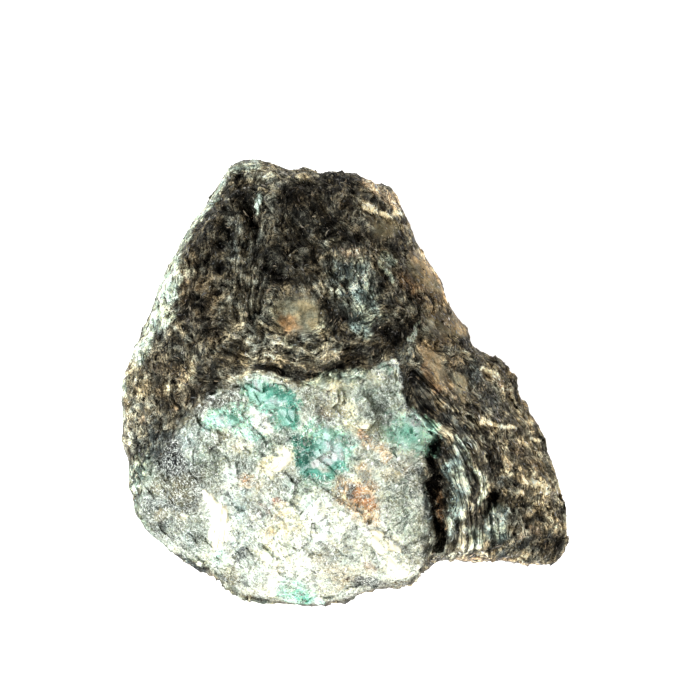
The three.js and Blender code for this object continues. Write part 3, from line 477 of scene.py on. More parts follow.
# Beryl that stands out of the pod, which shows through it.
BERYL = {
    "block": [(-11, 0.1), (-10.2, 0.9), (-9, 0.6), (-7.5, -0.1), (-5.1, -1), (-4.7, -2.6), (-4.8, -5), (-6.2, -5.3),
              (-7.3, -4.4), (-8, -3.2), (-10.2, -2.8), (-11.2, -1.6)],
    "heart": [(-5.4, -6.3), (-3.7, -4.9), (-1.6, -4.7), (0, -5.4), (0.6, -7), (0.2, -9.2), (-0.6, -10.6),
              (-2.4, -10.9), (-4.4, -10.6), (-5.3, -9.4), (-5.6, -7.8)],
    "right": [(5.5, -4.8), (7.2, -3.6), (8.6, -4.1), (9.7, -5.2), (9.8, -6.4), (9, -7.4), (7.6, -7.7), (6.2, -7.2)],
    "foot": [(-7, -23.4), (-5.6, -22.9), (-4.2, -23.8), (-3.9, -24.8), (-5, -25.1), (-6.4, -24.6)],
    "left": [(-15.4, -3.8), (-14.2, -3), (-12.6, -3.2), (-11.8, -4.4), (-13, -5), (-14.8, -4.8)],
}

# Feldspar blades in the pod, with the way that their cleavage runs in degrees.
BLADES = {
    "three-cornered": ([(-16.5, -11.4), (-15.6, -12), (-14.2, -13.3), (-13.4, -13.8), (-12.9, -15.4),
                        (-13.1, -18.4), (-13.6, -19.4), (-15.8, -19.5), (-15.7, -17.5), (-15.3, -15),
                        (-16.2, -13.2)], 80),
    "slanting": ([(2.2, -16.2), (3.8, -16.2), (5.6, -17.5), (7.4, -19.6), (7.9, -21), (7.3, -22.6), (6, -22.6),
                  (4.6, -20.8), (3.8, -19.2), (2.6, -17.6)], -48),
    "small": ([(-9.3, -10.3), (-8.5, -8.5), (-6.4, -7.2), (-5.2, -7), (-5.6, -8.5), (-7, -10)], 35),
}

NOISE_TABLE = np.random.default_rng(11)
LATTICE = NOISE_TABLE.permutation(256)
GRADIENTS = NOISE_TABLE.normal(size=(256, 3))
GRADIENTS /= np.linalg.norm(GRADIENTS, axis=1, keepdims=True)
JITTER = NOISE_TABLE.random((256, 3))
TILTS = NOISE_TABLE.normal(size=(256, 3))
LEVELS = NOISE_TABLE.random(256) - 0.5


def smoothstep(low, high, value):
    t = np.clip((value - low) / (high - low), 0, 1)
    return t * t * (3 - 2 * t)


def bell(distance, width):
    return np.exp(-((distance / width) ** 2))


def lattice_id(cell, seed):
    x, y, z = cell.T & 255
    return LATTICE[(LATTICE[(LATTICE[(x + seed) & 255] + y) & 255] + z) & 255]


def noise(points, size, seed):
    """Smooth noise between about -1 and 1 at the points, with bumps of that size."""
    scaled = points / size
    cell = np.floor(scaled).astype(np.int64)
    inside = scaled - cell
    blend = inside**3 * (inside * (inside * 6 - 15) + 10)
    total = np.zeros(len(points))
    for corner in itertools.product((0, 1), repeat=3):
        share = np.prod(np.where(corner, blend, 1 - blend), axis=1)
        gradient = GRADIENTS[lattice_id(cell + corner, seed)]
        total += share * np.einsum("ij,ij->i", gradient, inside - corner)
    return total * 1.7


def facets(points, size, level, slope, seed):
    """Heights of broken faces: each grain has its own level and its own tilt."""
    scaled = points / size
    cell = np.floor(scaled).astype(np.int64)
    nearest = np.full(len(points), np.inf)
    number = np.zeros(len(points), np.int64)
    offset = np.zeros((len(points), 3))
    for step in itertools.product((-1, 0, 1), repeat=3):
        key = lattice_id(cell + step, seed)
        away = scaled - (cell + step + JITTER[key])
        distance = np.einsum("ij,ij->i", away, away)
        nearer = distance < nearest
        nearest[nearer] = distance[nearer]
        number[nearer] = key[nearer]
        offset[nearer] = away[nearer]
    return level * LEVELS[number] + slope * size * np.einsum("ij,ij->i", TILTS[number], offset)


def flattened(points):
    return points * (1, 1, 0)


def nearest_on_path(xy, path):
    """The distance to an open path, and +1 on its left or -1 on its right."""
    nearest = np.full(len(xy), np.inf)
    side = np.ones(len(xy))
    for a, b in zip(path[:-1] or path, path[1:] or path):
        a, b = np.array(a), np.array(b)
        along = np.clip((xy - a) @ (b - a) / max((b - a) @ (b - a), 1e-9), 0, 1)
        distance = np.linalg.norm(xy - a - along[:, None] * (b - a), axis=1)
        left = (b - a)[0] * (xy - a)[:, 1] - (b - a)[1] * (xy - a)[:, 0]
        side = np.where(distance < nearest, np.sign(left), side)
        nearest = np.minimum(nearest, distance)
    return nearest, side


def depth_in_loop(xy, loop):
    """Signed distance to a closed loop, positive inside."""
    closed = loop + loop[:1]
    inside = np.zeros(len(xy), bool)
    for (ax, ay), (bx, by) in zip(closed[:-1], closed[1:]):
        if ay != by:
            crosses = (ay > xy[:, 1]) != (by > xy[:, 1])
            inside ^= crosses & (xy[:, 0] < ax + (bx - ax) * (xy[:, 1] - ay) / (by - ay))
    return np.where(inside, 1, -1) * nearest_on_path(xy, closed)[0]


def wandering(points, wander, seed):
    """The points' places seen from above, shifted unevenly by about the wander."""
    flat = flattened(points)
    xy = points[:, :2].copy()
    for axis in (0, 1):
        xy[:, axis] += wander * noise(flat, 4 * wander, seed + axis)
        xy[:, axis] += 0.4 * wander * noise(flat, 1.3 * wander, seed + 2 + axis)
    return xy


def pod_depth(points):
    """How far inside the pod's uneven edge each point lies."""
    return depth_in_loop(wandering(points, 0.5, 40), POD_EDGE)


def lens_share(points):
    """1 in the middle of a quartz lens and 0 away from them all."""
    xy = wandering(points, 0.4, 60)
    return np.max([smoothstep(-0.6, 0.7, depth_in_loop(xy, edge)) for edge in LENSES.values()], axis=0)


def colour_of(kind):
    return np.array(getattr(bpy.context.scene.mineral_colours, kind))


def flank_colour(points):
    """The schist's colour where no stroke lies: brown, grey and black in drifts along the layers."""
    layer = foliation(points)
    broad = noise(points, 7, 70) + 0.8 * strands(points, layer, 2.4, 7, 71)
    fine = noise(points, 2.2, 72) + 0.6 * strands(points, layer, 0.9, 3, 73)
    colour = np.tile(colour_of("ground"), (len(points), 1))
    for kind, value, low, high, strength in (("biotite_brown", broad, 0.05, 0.5, 0.8),
                                             ("mica_grey", -broad, 0, 0.5, 0.7),
                                             ("biotite_black", fine, 0.2, 0.6, 0.8),
                                             ("tan_grey", -fine, 0.3, 0.8, 0.35)):
        cover = strength * smoothstep(low, high, value)
        colour += cover[:, None] * (colour_of(kind) - colour)
    return colour


def front_colour(points):
    """The two grounds of the front face with every stroke brushed over them."""
    flat = flattened(points)
    xy = wandering(points, 0.35, 90)
    ragged = 0.3 * noise(flat, 0.5, 94) + 0.3 * noise(flat, 1.2, 95)
    in_pod = smoothstep(-0.4, 0.5, pod_depth(points))[:, None]
    drift = smoothstep(-0.4, 0.6, noise(flat, 3, 96))[:, None]
    schist = colour_of("ground") + 0.6 * drift * (colour_of("mica_grey") - colour_of("ground"))
    pod = colour_of("pod_ground") + 0.6 * drift * (colour_of("feldspar_white") - colour_of("pod_ground"))
    paint = schist + in_pod * (pod - schist)
    for kind, strength, radius, *path in STROKES:
        reach = 1.5 * radius
        near = np.all((xy > np.min(path, axis=0) - reach) & (xy < np.max(path, axis=0) + reach), axis=1)
        near = np.flatnonzero(near)
        away = nearest_on_path(xy[near], path)[0] / radius + ragged[near]
        cover = strength * smoothstep(1.35, 0.55, away)
        paint[near] += cover[:, None] * (colour_of(kind) - paint[near])
    return paint


def fold_share(points):
    """1 along the folded crest beside the pod and 0 away from it."""
    xy = points[:, :2]
    along = bell(nearest_on_path(xy, FOLD_CREST)[0], 3.2)
    return along * smoothstep(6, 9, xy[:, 0]) * smoothstep(4, 0, xy[:, 1]) * smoothstep(9, 13, points[:, 2])


def foliation(points):
    """A height that is the same all along one layer of the schist. The layers wrap the folded crest and the pod."""
    xy = points[:, :2]
    from_left, _ = nearest_on_path(xy, LEFT_EDGE)
    from_brow, brow_side = nearest_on_path(xy, POD_BROW)
    from_crest, side = nearest_on_path(xy, FOLD_CREST)
    through = 0.3 * points[:, 0] + 0.35 * points[:, 1] + 0.9 * points[:, 2]
    front = 0.9 * points[:, 0] + 0.25 * points[:, 1]
    front += smoothstep(-8, -14, xy[:, 0]) * (from_left - front)
    front += smoothstep(5, 2, from_brow) * (brow_side * from_brow - front)
    front += smoothstep(5, 8, xy[:, 0]) * smoothstep(7, 1, xy[:, 1]) * (side * from_crest - front)
    front_share = smoothstep(11, 16, points[:, 2])
    sway = 1.3 * noise(points, 6, 20) + 0.8 * noise(points, 2.4, 21) + 0.25 * noise(points, 1, 22)
    return through + front_share * (front - through) + sway * (1 - 0.75 * fold_share(points))


def strands(points, layer, width, length, seed):
    """Noise drawn out along the layers."""
    drawn = points / length
    drawn[:, 1] += layer / width
    return noise(drawn, 1, seed)


def deselect_all():
    if bpy.context.object and bpy.context.object.mode != "OBJECT":
        bpy.ops.object.mode_set(mode="OBJECT")
    bpy.ops.object.select_all(action="DESELECT")


def make_active(piece):
    deselect_all()
    piece.select_set(True)
    bpy.context.view_layer.objects.active = piece


def read(collection, name, width, kind=float):
    """Reads one value of every item in a mesh's list into an array."""
    flat = np.empty(len(collection) * width, kind)
    collection.foreach_get(name, flat)
    return flat.reshape(-1, width)


def points_of(piece):
    return read(piece.data.vertices, "co", 3) / MM


def set_points(piece, points):
    piece.data.vertices.foreach_set("co", (points * MM).ravel())
    piece.data.update()


def normals_of(piece):
    return read(piece.data.vertex_normals, "vector", 3)


def set_attributes(piece, fields):
    """Stores values, or colours, at the vertices for the materials to read."""
    for name, values in fields.items():
        if values.ndim == 2:
            layer = piece.data.attributes.new(name, "FLOAT_COLOR", "POINT")
            opaque = np.c_[values, np.ones(len(values))]
            layer.data.foreach_set("color", opaque.astype(np.float32).ravel())
        else:
            layer = piece.data.attributes.new(name, "FLOAT", "POINT")
            layer.data.foreach_set("value", values.astype(np.float32))


def apply_modifier(piece, kind, **settings):
    make_active(piece)
    modifier = piece.modifiers.new(kind.title(), kind)
    for key, value in settings.items():
        setattr(modifier, key, value)
    bpy.ops.object.modifier_apply(modifier=modifier.name)


def edit_faces(piece, chosen):
    """Goes into edit mode with only the chosen faces selected."""
    make_active(piece)
    bpy.ops.object.mode_set(mode="EDIT")
    bpy.ops.mesh.select_mode(type="FACE")
    bpy.ops.mesh.select_all(action="DESELECT")
    bpy.ops.object.mode_set(mode="OBJECT")
    piece.data.polygons.foreach_set("select", chosen)
    bpy.ops.object.mode_set(mode="EDIT")


def standing_out(piece, rounds):
    """How far each vertex stands above the mesh smoothed that many times, or below it if less than zero."""
    points = points_of(piece)
    ends = read(piece.data.edges, "vertices", 2, np.int64)
    count = len(points)
    degree = np.maximum(np.bincount(ends.ravel(), minlength=count), 1)
    smooth = points.copy()
    for _ in range(rounds):
        total = np.empty_like(smooth)
        for axis in range(3):
            total[:, axis] = np.bincount(ends[:, 0], smooth[ends[:, 1], axis], count)
            total[:, axis] += np.bincount(ends[:, 1], smooth[ends[:, 0], axis], count)
        smooth = total / degree[:, None]
    return np.einsum("ij,ij->i", points - smooth, normals_of(piece))


def smooth_lump(name, voxel):
    """A copy of the solid's mesh, merged, remeshed evenly and relaxed."""
    piece = bpy.data.objects.new(name, frame["nodes"][LUMP].data.copy())
    bpy.context.scene.collection.objects.link(piece)
    piece.data.name = name
    piece.data.materials.clear()
    make_active(piece)
    bpy.ops.object.mode_set(mode="EDIT")
    bpy.ops.mesh.select_all(action="SELECT")
    bpy.ops.mesh.remove_doubles(threshold=0.001 * MM)
    bpy.ops.object.mode_set(mode="OBJECT")
    apply_modifier(piece, "REMESH", mode="VOXEL", voxel_size=voxel * MM)
    apply_modifier(piece, "SMOOTH", factor=0.5, iterations=8)
    return piece


def sheet_inside(name, edge, spacing, wander, seed):
    """A sheet of small squares inside an outline, dropped from above onto the broken form.

    Squares with a corner that falls past the form stand nearly upright, and they are taken off again."""
    upright = 0.05
    low = np.min(edge, axis=0) - 1
    high = np.max(edge, axis=0) + 1
    squares = np.round((high - low) / spacing).astype(int)
    deselect_all()
    bpy.ops.mesh.primitive_grid_add(x_subdivisions=int(squares[0]), y_subdivisions=int(squares[1]), size=1)
    piece = bpy.context.object
    piece.name = piece.data.name = name
    above = CAD_BOX[1][2] / MM + 10
    points = points_of(piece) * MM * (*(high - low), 0) + (*(high + low) / 2, above)
    set_points(piece, points)
    centres = read(piece.data.polygons, "center", 3) / MM
    edit_faces(piece, depth_in_loop(wandering(centres, wander, seed), edge) < 0)
    bpy.ops.mesh.delete(type="FACE")
    bpy.ops.object.mode_set(mode="OBJECT")
    apply_modifier(piece, "SHRINKWRAP", target=bpy.data.objects[FORM], wrap_method="PROJECT",
                   use_project_z=True, use_negative_direction=True, use_positive_direction=False)
    edit_faces(piece, np.abs(read(piece.data.polygons, "normal", 3)[:, 2]) < upright)
    bpy.ops.mesh.delete(type="FACE")
    bpy.ops.mesh.select_mode(type="VERT")
    bpy.ops.mesh.select_all(action="DESELECT")
    bpy.ops.object.mode_set(mode="OBJECT")
    middle = np.mean(edge, axis=0)
    seed_vertex = int(np.argmin(np.linalg.norm(points_of(piece)[:, :2] - middle, axis=1)))
    piece.data.vertices[seed_vertex].select = True
    bpy.ops.object.mode_set(mode="EDIT")
    bpy.ops.mesh.select_linked()
    bpy.ops.mesh.select_all(action="INVERT")
    bpy.ops.mesh.delete(type="VERT")
    bpy.ops.object.mode_set(mode="OBJECT")
    return piece


def close_below(piece, depth):
    """Gives a sheet walls down from its border and a flat floor under all of it."""
    surface = points_of(piece)
    make_active(piece)
    bpy.ops.object.mode_set(mode="EDIT")
    bpy.ops.mesh.select_mode(type="EDGE")
    bpy.ops.mesh.select_all(action="SELECT")
    bpy.ops.mesh.region_to_loop()
    bpy.ops.mesh.extrude_region_move(TRANSFORM_OT_translate={"value": (0, 0, -depth * MM)})
    bpy.ops.object.mode_set(mode="OBJECT")
    points = points_of(piece)
    rim = read(piece.data.vertices, "select", 1, bool)[:, 0]
    slope, *_ = np.linalg.lstsq(np.c_[points[rim, :2], np.ones(rim.sum())], points[rim, 2], rcond=None)
    floor = points[:, :2] @ slope[:2] + slope[2]
    lowest = np.min(surface[:, 2] - (surface[:, :2] @ slope[:2] + slope[2]))
    points[rim, 2] = floor[rim] + lowest - 0.5 * depth
    set_points(piece, points)
    bpy.ops.object.mode_set(mode="EDIT")
    bpy.ops.mesh.edge_face_add()
    bpy.ops.mesh.select_all(action="SELECT")
    bpy.ops.mesh.normals_make_consistent(inside=False)
    bpy.ops.object.mode_set(mode="OBJECT")


class Surface:
    """The triangles of a piece, to scatter small things over."""

    def __init__(self, piece):
        piece.data.calc_loop_triangles()
        corners = read(piece.data.loop_triangles, "vertices", 3, np.int64)
        self.corners = points_of(piece)[corners]
        a, b, c = self.corners.transpose(1, 0, 2)
        cross = np.cross(b - a, c - a)
        self.area = np.linalg.norm(cross, axis=1)
        self.normal = cross / np.maximum(self.area, 1e-12)[:, None]
        self.middle = self.corners.mean(axis=1)

    def pick(self, count, weight, rng):
        """Random places on the surface, as dense as the weight says, and the normals there."""
        chance = self.area * weight
        chosen = rng.choice(len(chance), count, p=chance / chance.sum())
        u, v = rng.random((2, count, 1))
        outside = u + v > 1
        u, v = np.where(outside, 1 - u, u), np.where(outside, 1 - v, v)
        a, b, c = self.corners[chosen].transpose(1, 0, 2)
        return a + u * (b - a) + v * (c - a), self.normal[chosen]


def unit(vectors):
    return vectors / (np.linalg.norm(vectors, axis=1, keepdims=True) + 1e-9)


def scattered(name, shape, faces, spots, axes, fields):
    """One mesh of many copies of a small shape, each at its spot and along its own three scaled axes."""
    shape, faces = np.array(shape), np.array(faces)
    corners = spots[:, None, :] + np.einsum("vk,nkj->nvj", shape, axes)
    corners[:, :, 2] = np.maximum(corners[:, :, 2], 0)
    start = len(shape) * np.arange(len(spots))[:, None, None]
    mesh = bpy.data.meshes.new(name)
    mesh.from_pydata((corners.reshape(-1, 3) * MM).tolist(), [], (start + faces).reshape(-1, 3).tolist())
    piece = bpy.data.objects.new(name, mesh)
    bpy.context.scene.collection.objects.link(piece)
    set_attributes(piece, {key: np.repeat(values, len(shape), axis=0) for key, values in fields.items()})
    return piece


class Shader:
    """Adds nodes to a material and links them, so that a material reads as a list of steps."""

    def __init__(self, name):
        self.material = bpy.data.materials.new(name)
        self.material.use_nodes = True
        self.nodes = self.material.node_tree.nodes
        self.links = self.material.node_tree.links
        self.nodes.clear()
        self.surface = self.nodes.new("ShaderNodeBsdfPrincipled")
        output = self.nodes.new("ShaderNodeOutputMaterial")
        self.links.new(self.surface.outputs["BSDF"], output.inputs["Surface"])
        metres = self.nodes.new("ShaderNodeTexCoord").outputs["Object"]
        self.place = self.vector("SCALE", metres, scale=1 / MM)

    def put(self, socket, value):
        if isinstance(value, bpy.types.NodeSocket):
            self.links.new(value, socket)
        elif hasattr(value, "__len__") and socket.type == "RGBA":
            socket.default_value = (*tuple(value)[:3], 1)
        else:
            socket.default_value = value

    def set(self, **values):
        for name, value in values.items():
            self.put(self.surface.inputs[name.replace("_", " ")], value)

    def vector(self, operation, first, second=(0, 0, 0), third=(0, 0, 0), scale=1.0):
        node = self.nodes.new("ShaderNodeVectorMath")
        node.operation = operation
        for socket, value in zip(node.inputs, (first, second, third, scale)):
            self.put(socket, value)
        return node.outputs["Vector"]

    def layers(self, width, length):
        """Coordinates that run fast across the layers and slowly along them."""
        across = self.nodes.new("ShaderNodeCombineXYZ")
        self.put(across.inputs["Y"], self.math("DIVIDE", self.attribute("layer"), width))
        return self.vector("MULTIPLY_ADD", self.place, (1 / length,) * 3, across.outputs["Vector"])

    def attribute(self, name, output="Fac"):
        node = self.nodes.new("ShaderNodeAttribute")
        node.attribute_name = name
        return node.outputs[output]

    def noise(self, size, detail=4, roughness=0.6, distortion=0.0, place=None):
        node = self.nodes.new("ShaderNodeTexNoise")
        self.put(node.inputs["Vector"], place or self.place)
        self.put(node.inputs["Scale"], 1 / size)
        self.put(node.inputs["Detail"], detail)
        self.put(node.inputs["Roughness"], roughness)
        self.put(node.inputs["Distortion"], distortion)
        return node.outputs["Fac"]

    def line(self, noise, width):
        """1 along the winding lines where a noise passes its middle value, and 0 away from them."""
        return self.ramp(self.math("ABSOLUTE", self.math("SUBTRACT", noise, 0.5)), width, 0.4 * width)

    def math(self, operation, first, second=0.0):
        node = self.nodes.new("ShaderNodeMath")
        node.operation = operation
        self.put(node.inputs[0], first)
        self.put(node.inputs[1], second)
        return node.outputs["Value"]

    def total(self, *terms):
        """The sum of values, each times its weight."""
        total = 0.0
        for value, weight in terms:
            total = self.math("ADD", total, self.math("MULTIPLY", value, weight))
        return total

    def ramp(self, value, low, high, to_low=0.0, to_high=1.0):
        node = self.nodes.new("ShaderNodeMapRange")
        node.interpolation_type = "SMOOTHSTEP"
        for name, number in zip(("Value", "From Min", "From Max", "To Min", "To Max"),
                                (value, low, high, to_low, to_high)):
            self.put(node.inputs[name], number)
        return node.outputs["Result"]

    def between(self, share, first, second):
        """The value that lies that share of the way from the first to the second."""
        node = self.nodes.new("ShaderNodeMix")
        for socket, value in zip(node.inputs, (share, None, first, second)):
            if value is not None:
                self.put(socket, value)
        return node.outputs[0]

    def mix(self, share, first, second):
        node = self.nodes.new("ShaderNodeMix")
        node.data_type = "RGBA"
        self.put(node.inputs[0], share)
        self.put(node.inputs[6], first)
        self.put(node.inputs[7], second)
        return node.outputs[2]

    def lit(self, colour, gain):
        """A colour made brighter or darker, up to the brightest that stone can be."""
        return self.vector("MINIMUM", self.vector("SCALE", colour, scale=gain), (0.92, 0.92, 0.9))

    def bump(self, height, strength, distance):
        node = self.nodes.new("ShaderNodeBump")
        self.put(node.inputs["Strength"], strength)
        self.put(node.inputs["Distance"], distance * MM)
        self.put(node.inputs["Height"], height)
        self.links.new(node.outputs["Normal"], self.surface.inputs["Normal"])


def rock_material(name, colours):
    """Broken rock: curled strands of mica in the schist, sugar in the pod, smooth quartz, with painted shade in the
    hollows and painted glints on strands and grains.
    """
    shader = Shader(name)
    sugar = shader.attribute("sugar")
    smooth = shader.attribute("smooth")
    relief = shader.attribute("relief")
    broad = shader.noise(1.6, 3, 0.6)
    fold = shader.attribute("fold")
    long_strand = shader.line(shader.noise(1, 2, 0.5, 0.5, shader.layers(0.5, 2.6)), 0.11)
    short_strand = shader.line(shader.noise(1, 2, 0.5, 1.0, shader.layers(0.34, 0.8)), 0.14)
    curl = shader.line(shader.noise(0.55, 2, 0.5, 1.8), 0.10)
    fleck = shader.ramp(shader.noise(0.2, 2, 0.6, 0.6), 0.60, 0.70)
    tangle = shader.total((long_strand, 0.4), (short_strand, 0.4), (curl, 0.5), (fleck, 0.6))
    drawn = shader.total((long_strand, 0.68), (short_strand, 0.35), (fleck, 0.3), (1.0, 0.12))
    strand = shader.math("MULTIPLY", shader.between(fold, tangle, drawn), shader.ramp(broad, 0.38, 0.62, 0.45, 1.25))
    # Share of bright paint, mostly the painted highlight strokes (cream glints, pale rims, pink tan faces); there the
    # strands change the tone less, so those strokes stay solid.
    highlit = shader.ramp(shader.attribute("paint"), 0.4, 0.75)
    # The bright strands are partly the mica's own pale flecks and partly painted glints, light caught by mica flakes,
    # put into the base colour as gain.
    schist_gain = shader.total((shader.math("POWER", strand, 2), 2.0), (1.0, 0.05))
    schist_gain = shader.between(highlit, schist_gain, shader.total((strand, 0.8), (1.0, 0.45)))
    cloud = shader.noise(0.9, 3, 0.6, 0.6)
    bright = shader.ramp(shader.noise(2.4, 4, 0.65, 0.4), 0.42, 0.58)
    thread = shader.line(shader.noise(0.8, 3, 0.6, 1.8), 0.035)
    # Painted glints: small white specks in the pod, standing in for light caught by grains.
    spark = shader.ramp(shader.noise(0.32, 2, 0.6, 0.8), 0.60, 0.66)
    pod_gain = shader.total((shader.ramp(cloud, 0.35, 0.65), 0.3), (bright, 0.38), (1.0, 0.45))
    gain = shader.between(sugar, schist_gain, pod_gain)
    smooth_gain = shader.total((shader.ramp(broad, 0.35, 0.65), 0.5), (curl, 0.4), (fleck, 0.3), (1.0, 0.45))
    gain = shader.between(smooth, gain, smooth_gain)
    # Painted shade in the hollows and painted highlight on the ridges: the relief attribute, how far the surface
    # stands out, darkens or brightens the colour.
    schist_shadow = shader.ramp(relief, 0.15, 0.62, 0.25, 1.2)
    pod_shadow = shader.ramp(relief, 0.1, 0.6, 0.8, 1.08)
    gain = shader.math("MULTIPLY", gain, shader.between(sugar, schist_shadow, pod_shadow))
    colour = shader.lit(shader.attribute("paint", "Color"), gain)
    # Painted glint: extra tan brightness on the brightest strands of the schist, added to the base colour.
    glint = shader.math("MULTIPLY", shader.math("POWER", strand, 3), shader.ramp(sugar, 0, 0.5, 0.09, 0))
    colour = shader.vector("ADD", colour, shader.vector("SCALE", colours.tan_grey, scale=glint))
    tint = shader.mix(shader.ramp(shader.noise(1.8, 5, 0.75), 0.4, 0.6), colours.warm_tint, colours.cool_tint)
    colour = shader.vector("MULTIPLY", colour, tint)
    # Mixes in white: thread is white feldspar fibre, spark is the painted glint specks.
    white = shader.math("MULTIPLY", shader.math("MAXIMUM", thread, spark), shader.ramp(sugar, 0.3, 1, 0, 0.9))
    colour = shader.mix(white, colour, colours.feldspar_white)
    height = shader.between(sugar, strand, cloud)
    calm = shader.ramp(smooth, 0, 1, 1, 0.3)
    shader.set(Base_Color=colour, Roughness=shader.ramp(broad, 0.35, 0.65, 0.4, 0.6), Specular_IOR_Level=0.03)
    shader.bump(shader.math("MULTIPLY", height, calm), 0.7, 0.16)
    return shader.material


def flake_material(colours):
    shader = Shader("mica flakes")
    shader.set(Base_Color=shader.attribute("paint", "Color"), Roughness=0.3, Specular_IOR_Level=0.3)
    shader.bump(shader.noise(0.2, 2, 0.5), 0.3, 0.05)
    return shader.material


def blade_material(colours):
    """Satin feldspar with fine cleavage lines along the blade."""
    shader = Shader("feldspar blade")
    line = shader.noise(1, 3, 0.6, 0.2, shader.layers(0.3, 2.4))
    cloud = shader.noise(1.1, 4, 0.6)
    colour = shader.mix(shader.ramp(cloud, 0.35, 0.55, 0.25, 1), colours.feldspar_white, colours.feldspar_cream)
    colour = shader.mix(shader.ramp(line, 0.42, 0.3, 0, 0.5), colour, colours.beige)
    shader.set(Base_Color=colour, Roughness=shader.ramp(line, 0.3, 0.7, 0.22, 0.45), Specular_IOR_Level=0.5)
    shader.bump(line, 0.5, 0.12)
    return shader.material


def beryl_material(colours):
    """Blue-green beryl, cloudy but see-through, with pale veils."""
    shader = Shader("emerald")
    cloud = shader.noise(0.9, 4, 0.65, 0.5)
    veil = shader.noise(0.3, 3, 0.7, 0.8)
    gain = shader.total((shader.ramp(cloud, 0.35, 0.65), 0.6), (1.0, 1.0))
    colour = shader.lit(shader.attribute("paint", "Color"), gain)
    colour = shader.mix(shader.ramp(veil, 0.57, 0.68, 0, 0.8), colour, colours.icy)
    shader.set(Base_Color=colour, Roughness=shader.ramp(veil, 0.35, 0.65, 0.08, 0.3), IOR=1.58,
               Transmission_Weight=0.5)
    shader.bump(cloud, 0.3, 0.1)
    return shader.material


def grain_material(colours):
    shader = Shader("feldspar grains")
    shader.set(Base_Color=shader.attribute("paint", "Color"), Roughness=0.35, Specular_IOR_Level=0.5)
    shader.bump(shader.noise(0.15, 2, 0.5), 0.3, 0.04)
    return shader.material


def quartz_material(colours):
    """Grey glassy quartz that lets light through."""
    shader = Shader("quartz grains")
    cloud = shader.noise(0.3, 3, 0.6)
    shader.set(Base_Color=shader.mix(shader.ramp(cloud, 0.4, 0.6), colours.quartz_clear, colours.feldspar_white),
               Roughness=0.12, IOR=1.54, Transmission_Weight=0.8)
    shader.bump(cloud, 0.3, 0.04)
    return shader.material


def floor_material(colours):
    shader = Shader("floor")
    shader.set(Base_Color=colours.floor, Roughness=0.9, Specular_IOR_Level=0.2,
               Emission_Color=colours.floor, Emission_Strength=0.8)
    return shader.material


def colour_property(name, description, default):
    return FloatVectorProperty(name=name, description=description, default=default, size=3, min=0, max=2,
                               subtype="COLOR")


class MineralColours(bpy.types.PropertyGroup):
    ground: colour_property("Ground", "The schist where nothing else shows", (0.085, 0.074, 0.056))
    pod_ground: colour_property("Pod ground", "The pod where nothing else shows", (0.60, 0.62, 0.53))
    # Black biotite, which also serves as painted shade in the groove, hollows, furrow, cleft and notch of the front
    # face.
    biotite_black: colour_property("Biotite black", "The darkest schist", (0.012, 0.011, 0.010))
    biotite_brown: colour_property("Biotite brown", "Schist where it is browner", (0.052, 0.036, 0.022))
    mica_grey: colour_property("Mica grey", "Dull grey schist", (0.115, 0.105, 0.085))
    ash: colour_property("Ash", "Light grey schist", (0.21, 0.20, 0.165))
    slate: colour_property("Slate", "Blue-black schist", (0.042, 0.050, 0.053))
    blue_grey: colour_property("Blue-grey", "Sparkling blue-grey schist", (0.165, 0.205, 0.195))
    pale_blue: colour_property("Pale blue", "Pale quartz with a blue cast", (0.46, 0.53, 0.51))
    tan_grey: colour_property("Tan grey", "Weathered mica", (0.29, 0.245, 0.175))
    # Pink tan: weathered tan faces, made brighter as painted highlight where warm light catches the upper corner, the
    # ledges and the lower rim.
    pink_tan: colour_property("Pink tan", "Bright weathered faces", (0.62, 0.47, 0.34))
    # Cream glint: painted highlights along the brightest edges and ledges, where light catches them.
    cream_glint: colour_property("Cream glint", "The brightest worn edges", (1.0, 0.88, 0.66))
    # Pale rim: pale green-white edges, made brighter as painted highlight where side faces catch light from the left.
    pale_rim: colour_property("Pale rim", "The pale green-white edge", (0.58, 0.66, 0.56))
    lens_brown: colour_property("Lens brown", "Grey-brown quartz", (0.088, 0.072, 0.045))
    lens_tan: colour_property("Lens tan", "Tan quartz", (0.27, 0.205, 0.135))
    quartz_tan: colour_property("Quartz tan", "Milky tan quartz", (0.26, 0.23, 0.16))
    feldspar_white: colour_property("White feldspar", "Fresh feldspar", (0.88, 0.92, 0.85))
    feldspar_cream: colour_property("Cream feldspar", "Yellower feldspar", (0.88, 0.82, 0.60))
    beige: colour_property("Beige", "Dull feldspar", (0.52, 0.46, 0.34))
    grey_green: colour_property("Grey-green", "Grey-green quartz and feldspar", (0.29, 0.34, 0.28))
    quartz_grey: colour_property("Quartz grey", "Grey quartz", (0.27, 0.30, 0.26))
    quartz_clear: colour_property("Clear quartz", "Glassy grains", (0.82, 0.86, 0.82))
    olive: colour_property("Olive", "Stained quartz", (0.25, 0.235, 0.15))
    mint: colour_property("Mint", "Thin beryl over feldspar", (0.36, 0.68, 0.54))
    icy: colour_property("Icy", "Nearly white beryl", (0.70, 0.95, 0.86))
    emerald_green: colour_property("Emerald", "Blue-green beryl", (0.13, 0.44, 0.34))
    deep_green: colour_property("Deep green", "Beryl where it is thick", (0.035, 0.18, 0.13))
    rust: colour_property("Rust", "Iron stain", (0.46, 0.23, 0.10))
    rust_pale: colour_property("Pale rust", "Thin iron stain", (0.72, 0.50, 0.30))
    rust_dark: colour_property("Dark rust", "Iron stain in the schist", (0.10, 0.052, 0.025))
    red_brown: colour_property("Red-brown", "Stained cleavage faces", (0.30, 0.165, 0.115))
    warm_tint: colour_property("Warm tint", "What the warmer grains multiply by", (1.07, 1.0, 0.80))
    cool_tint: colour_property("Cool tint", "What the cooler grains multiply by", (0.90, 1.0, 0.99))
    floor: colour_property("Floor", "The plain pale floor", (0.9, 0.9, 0.9))


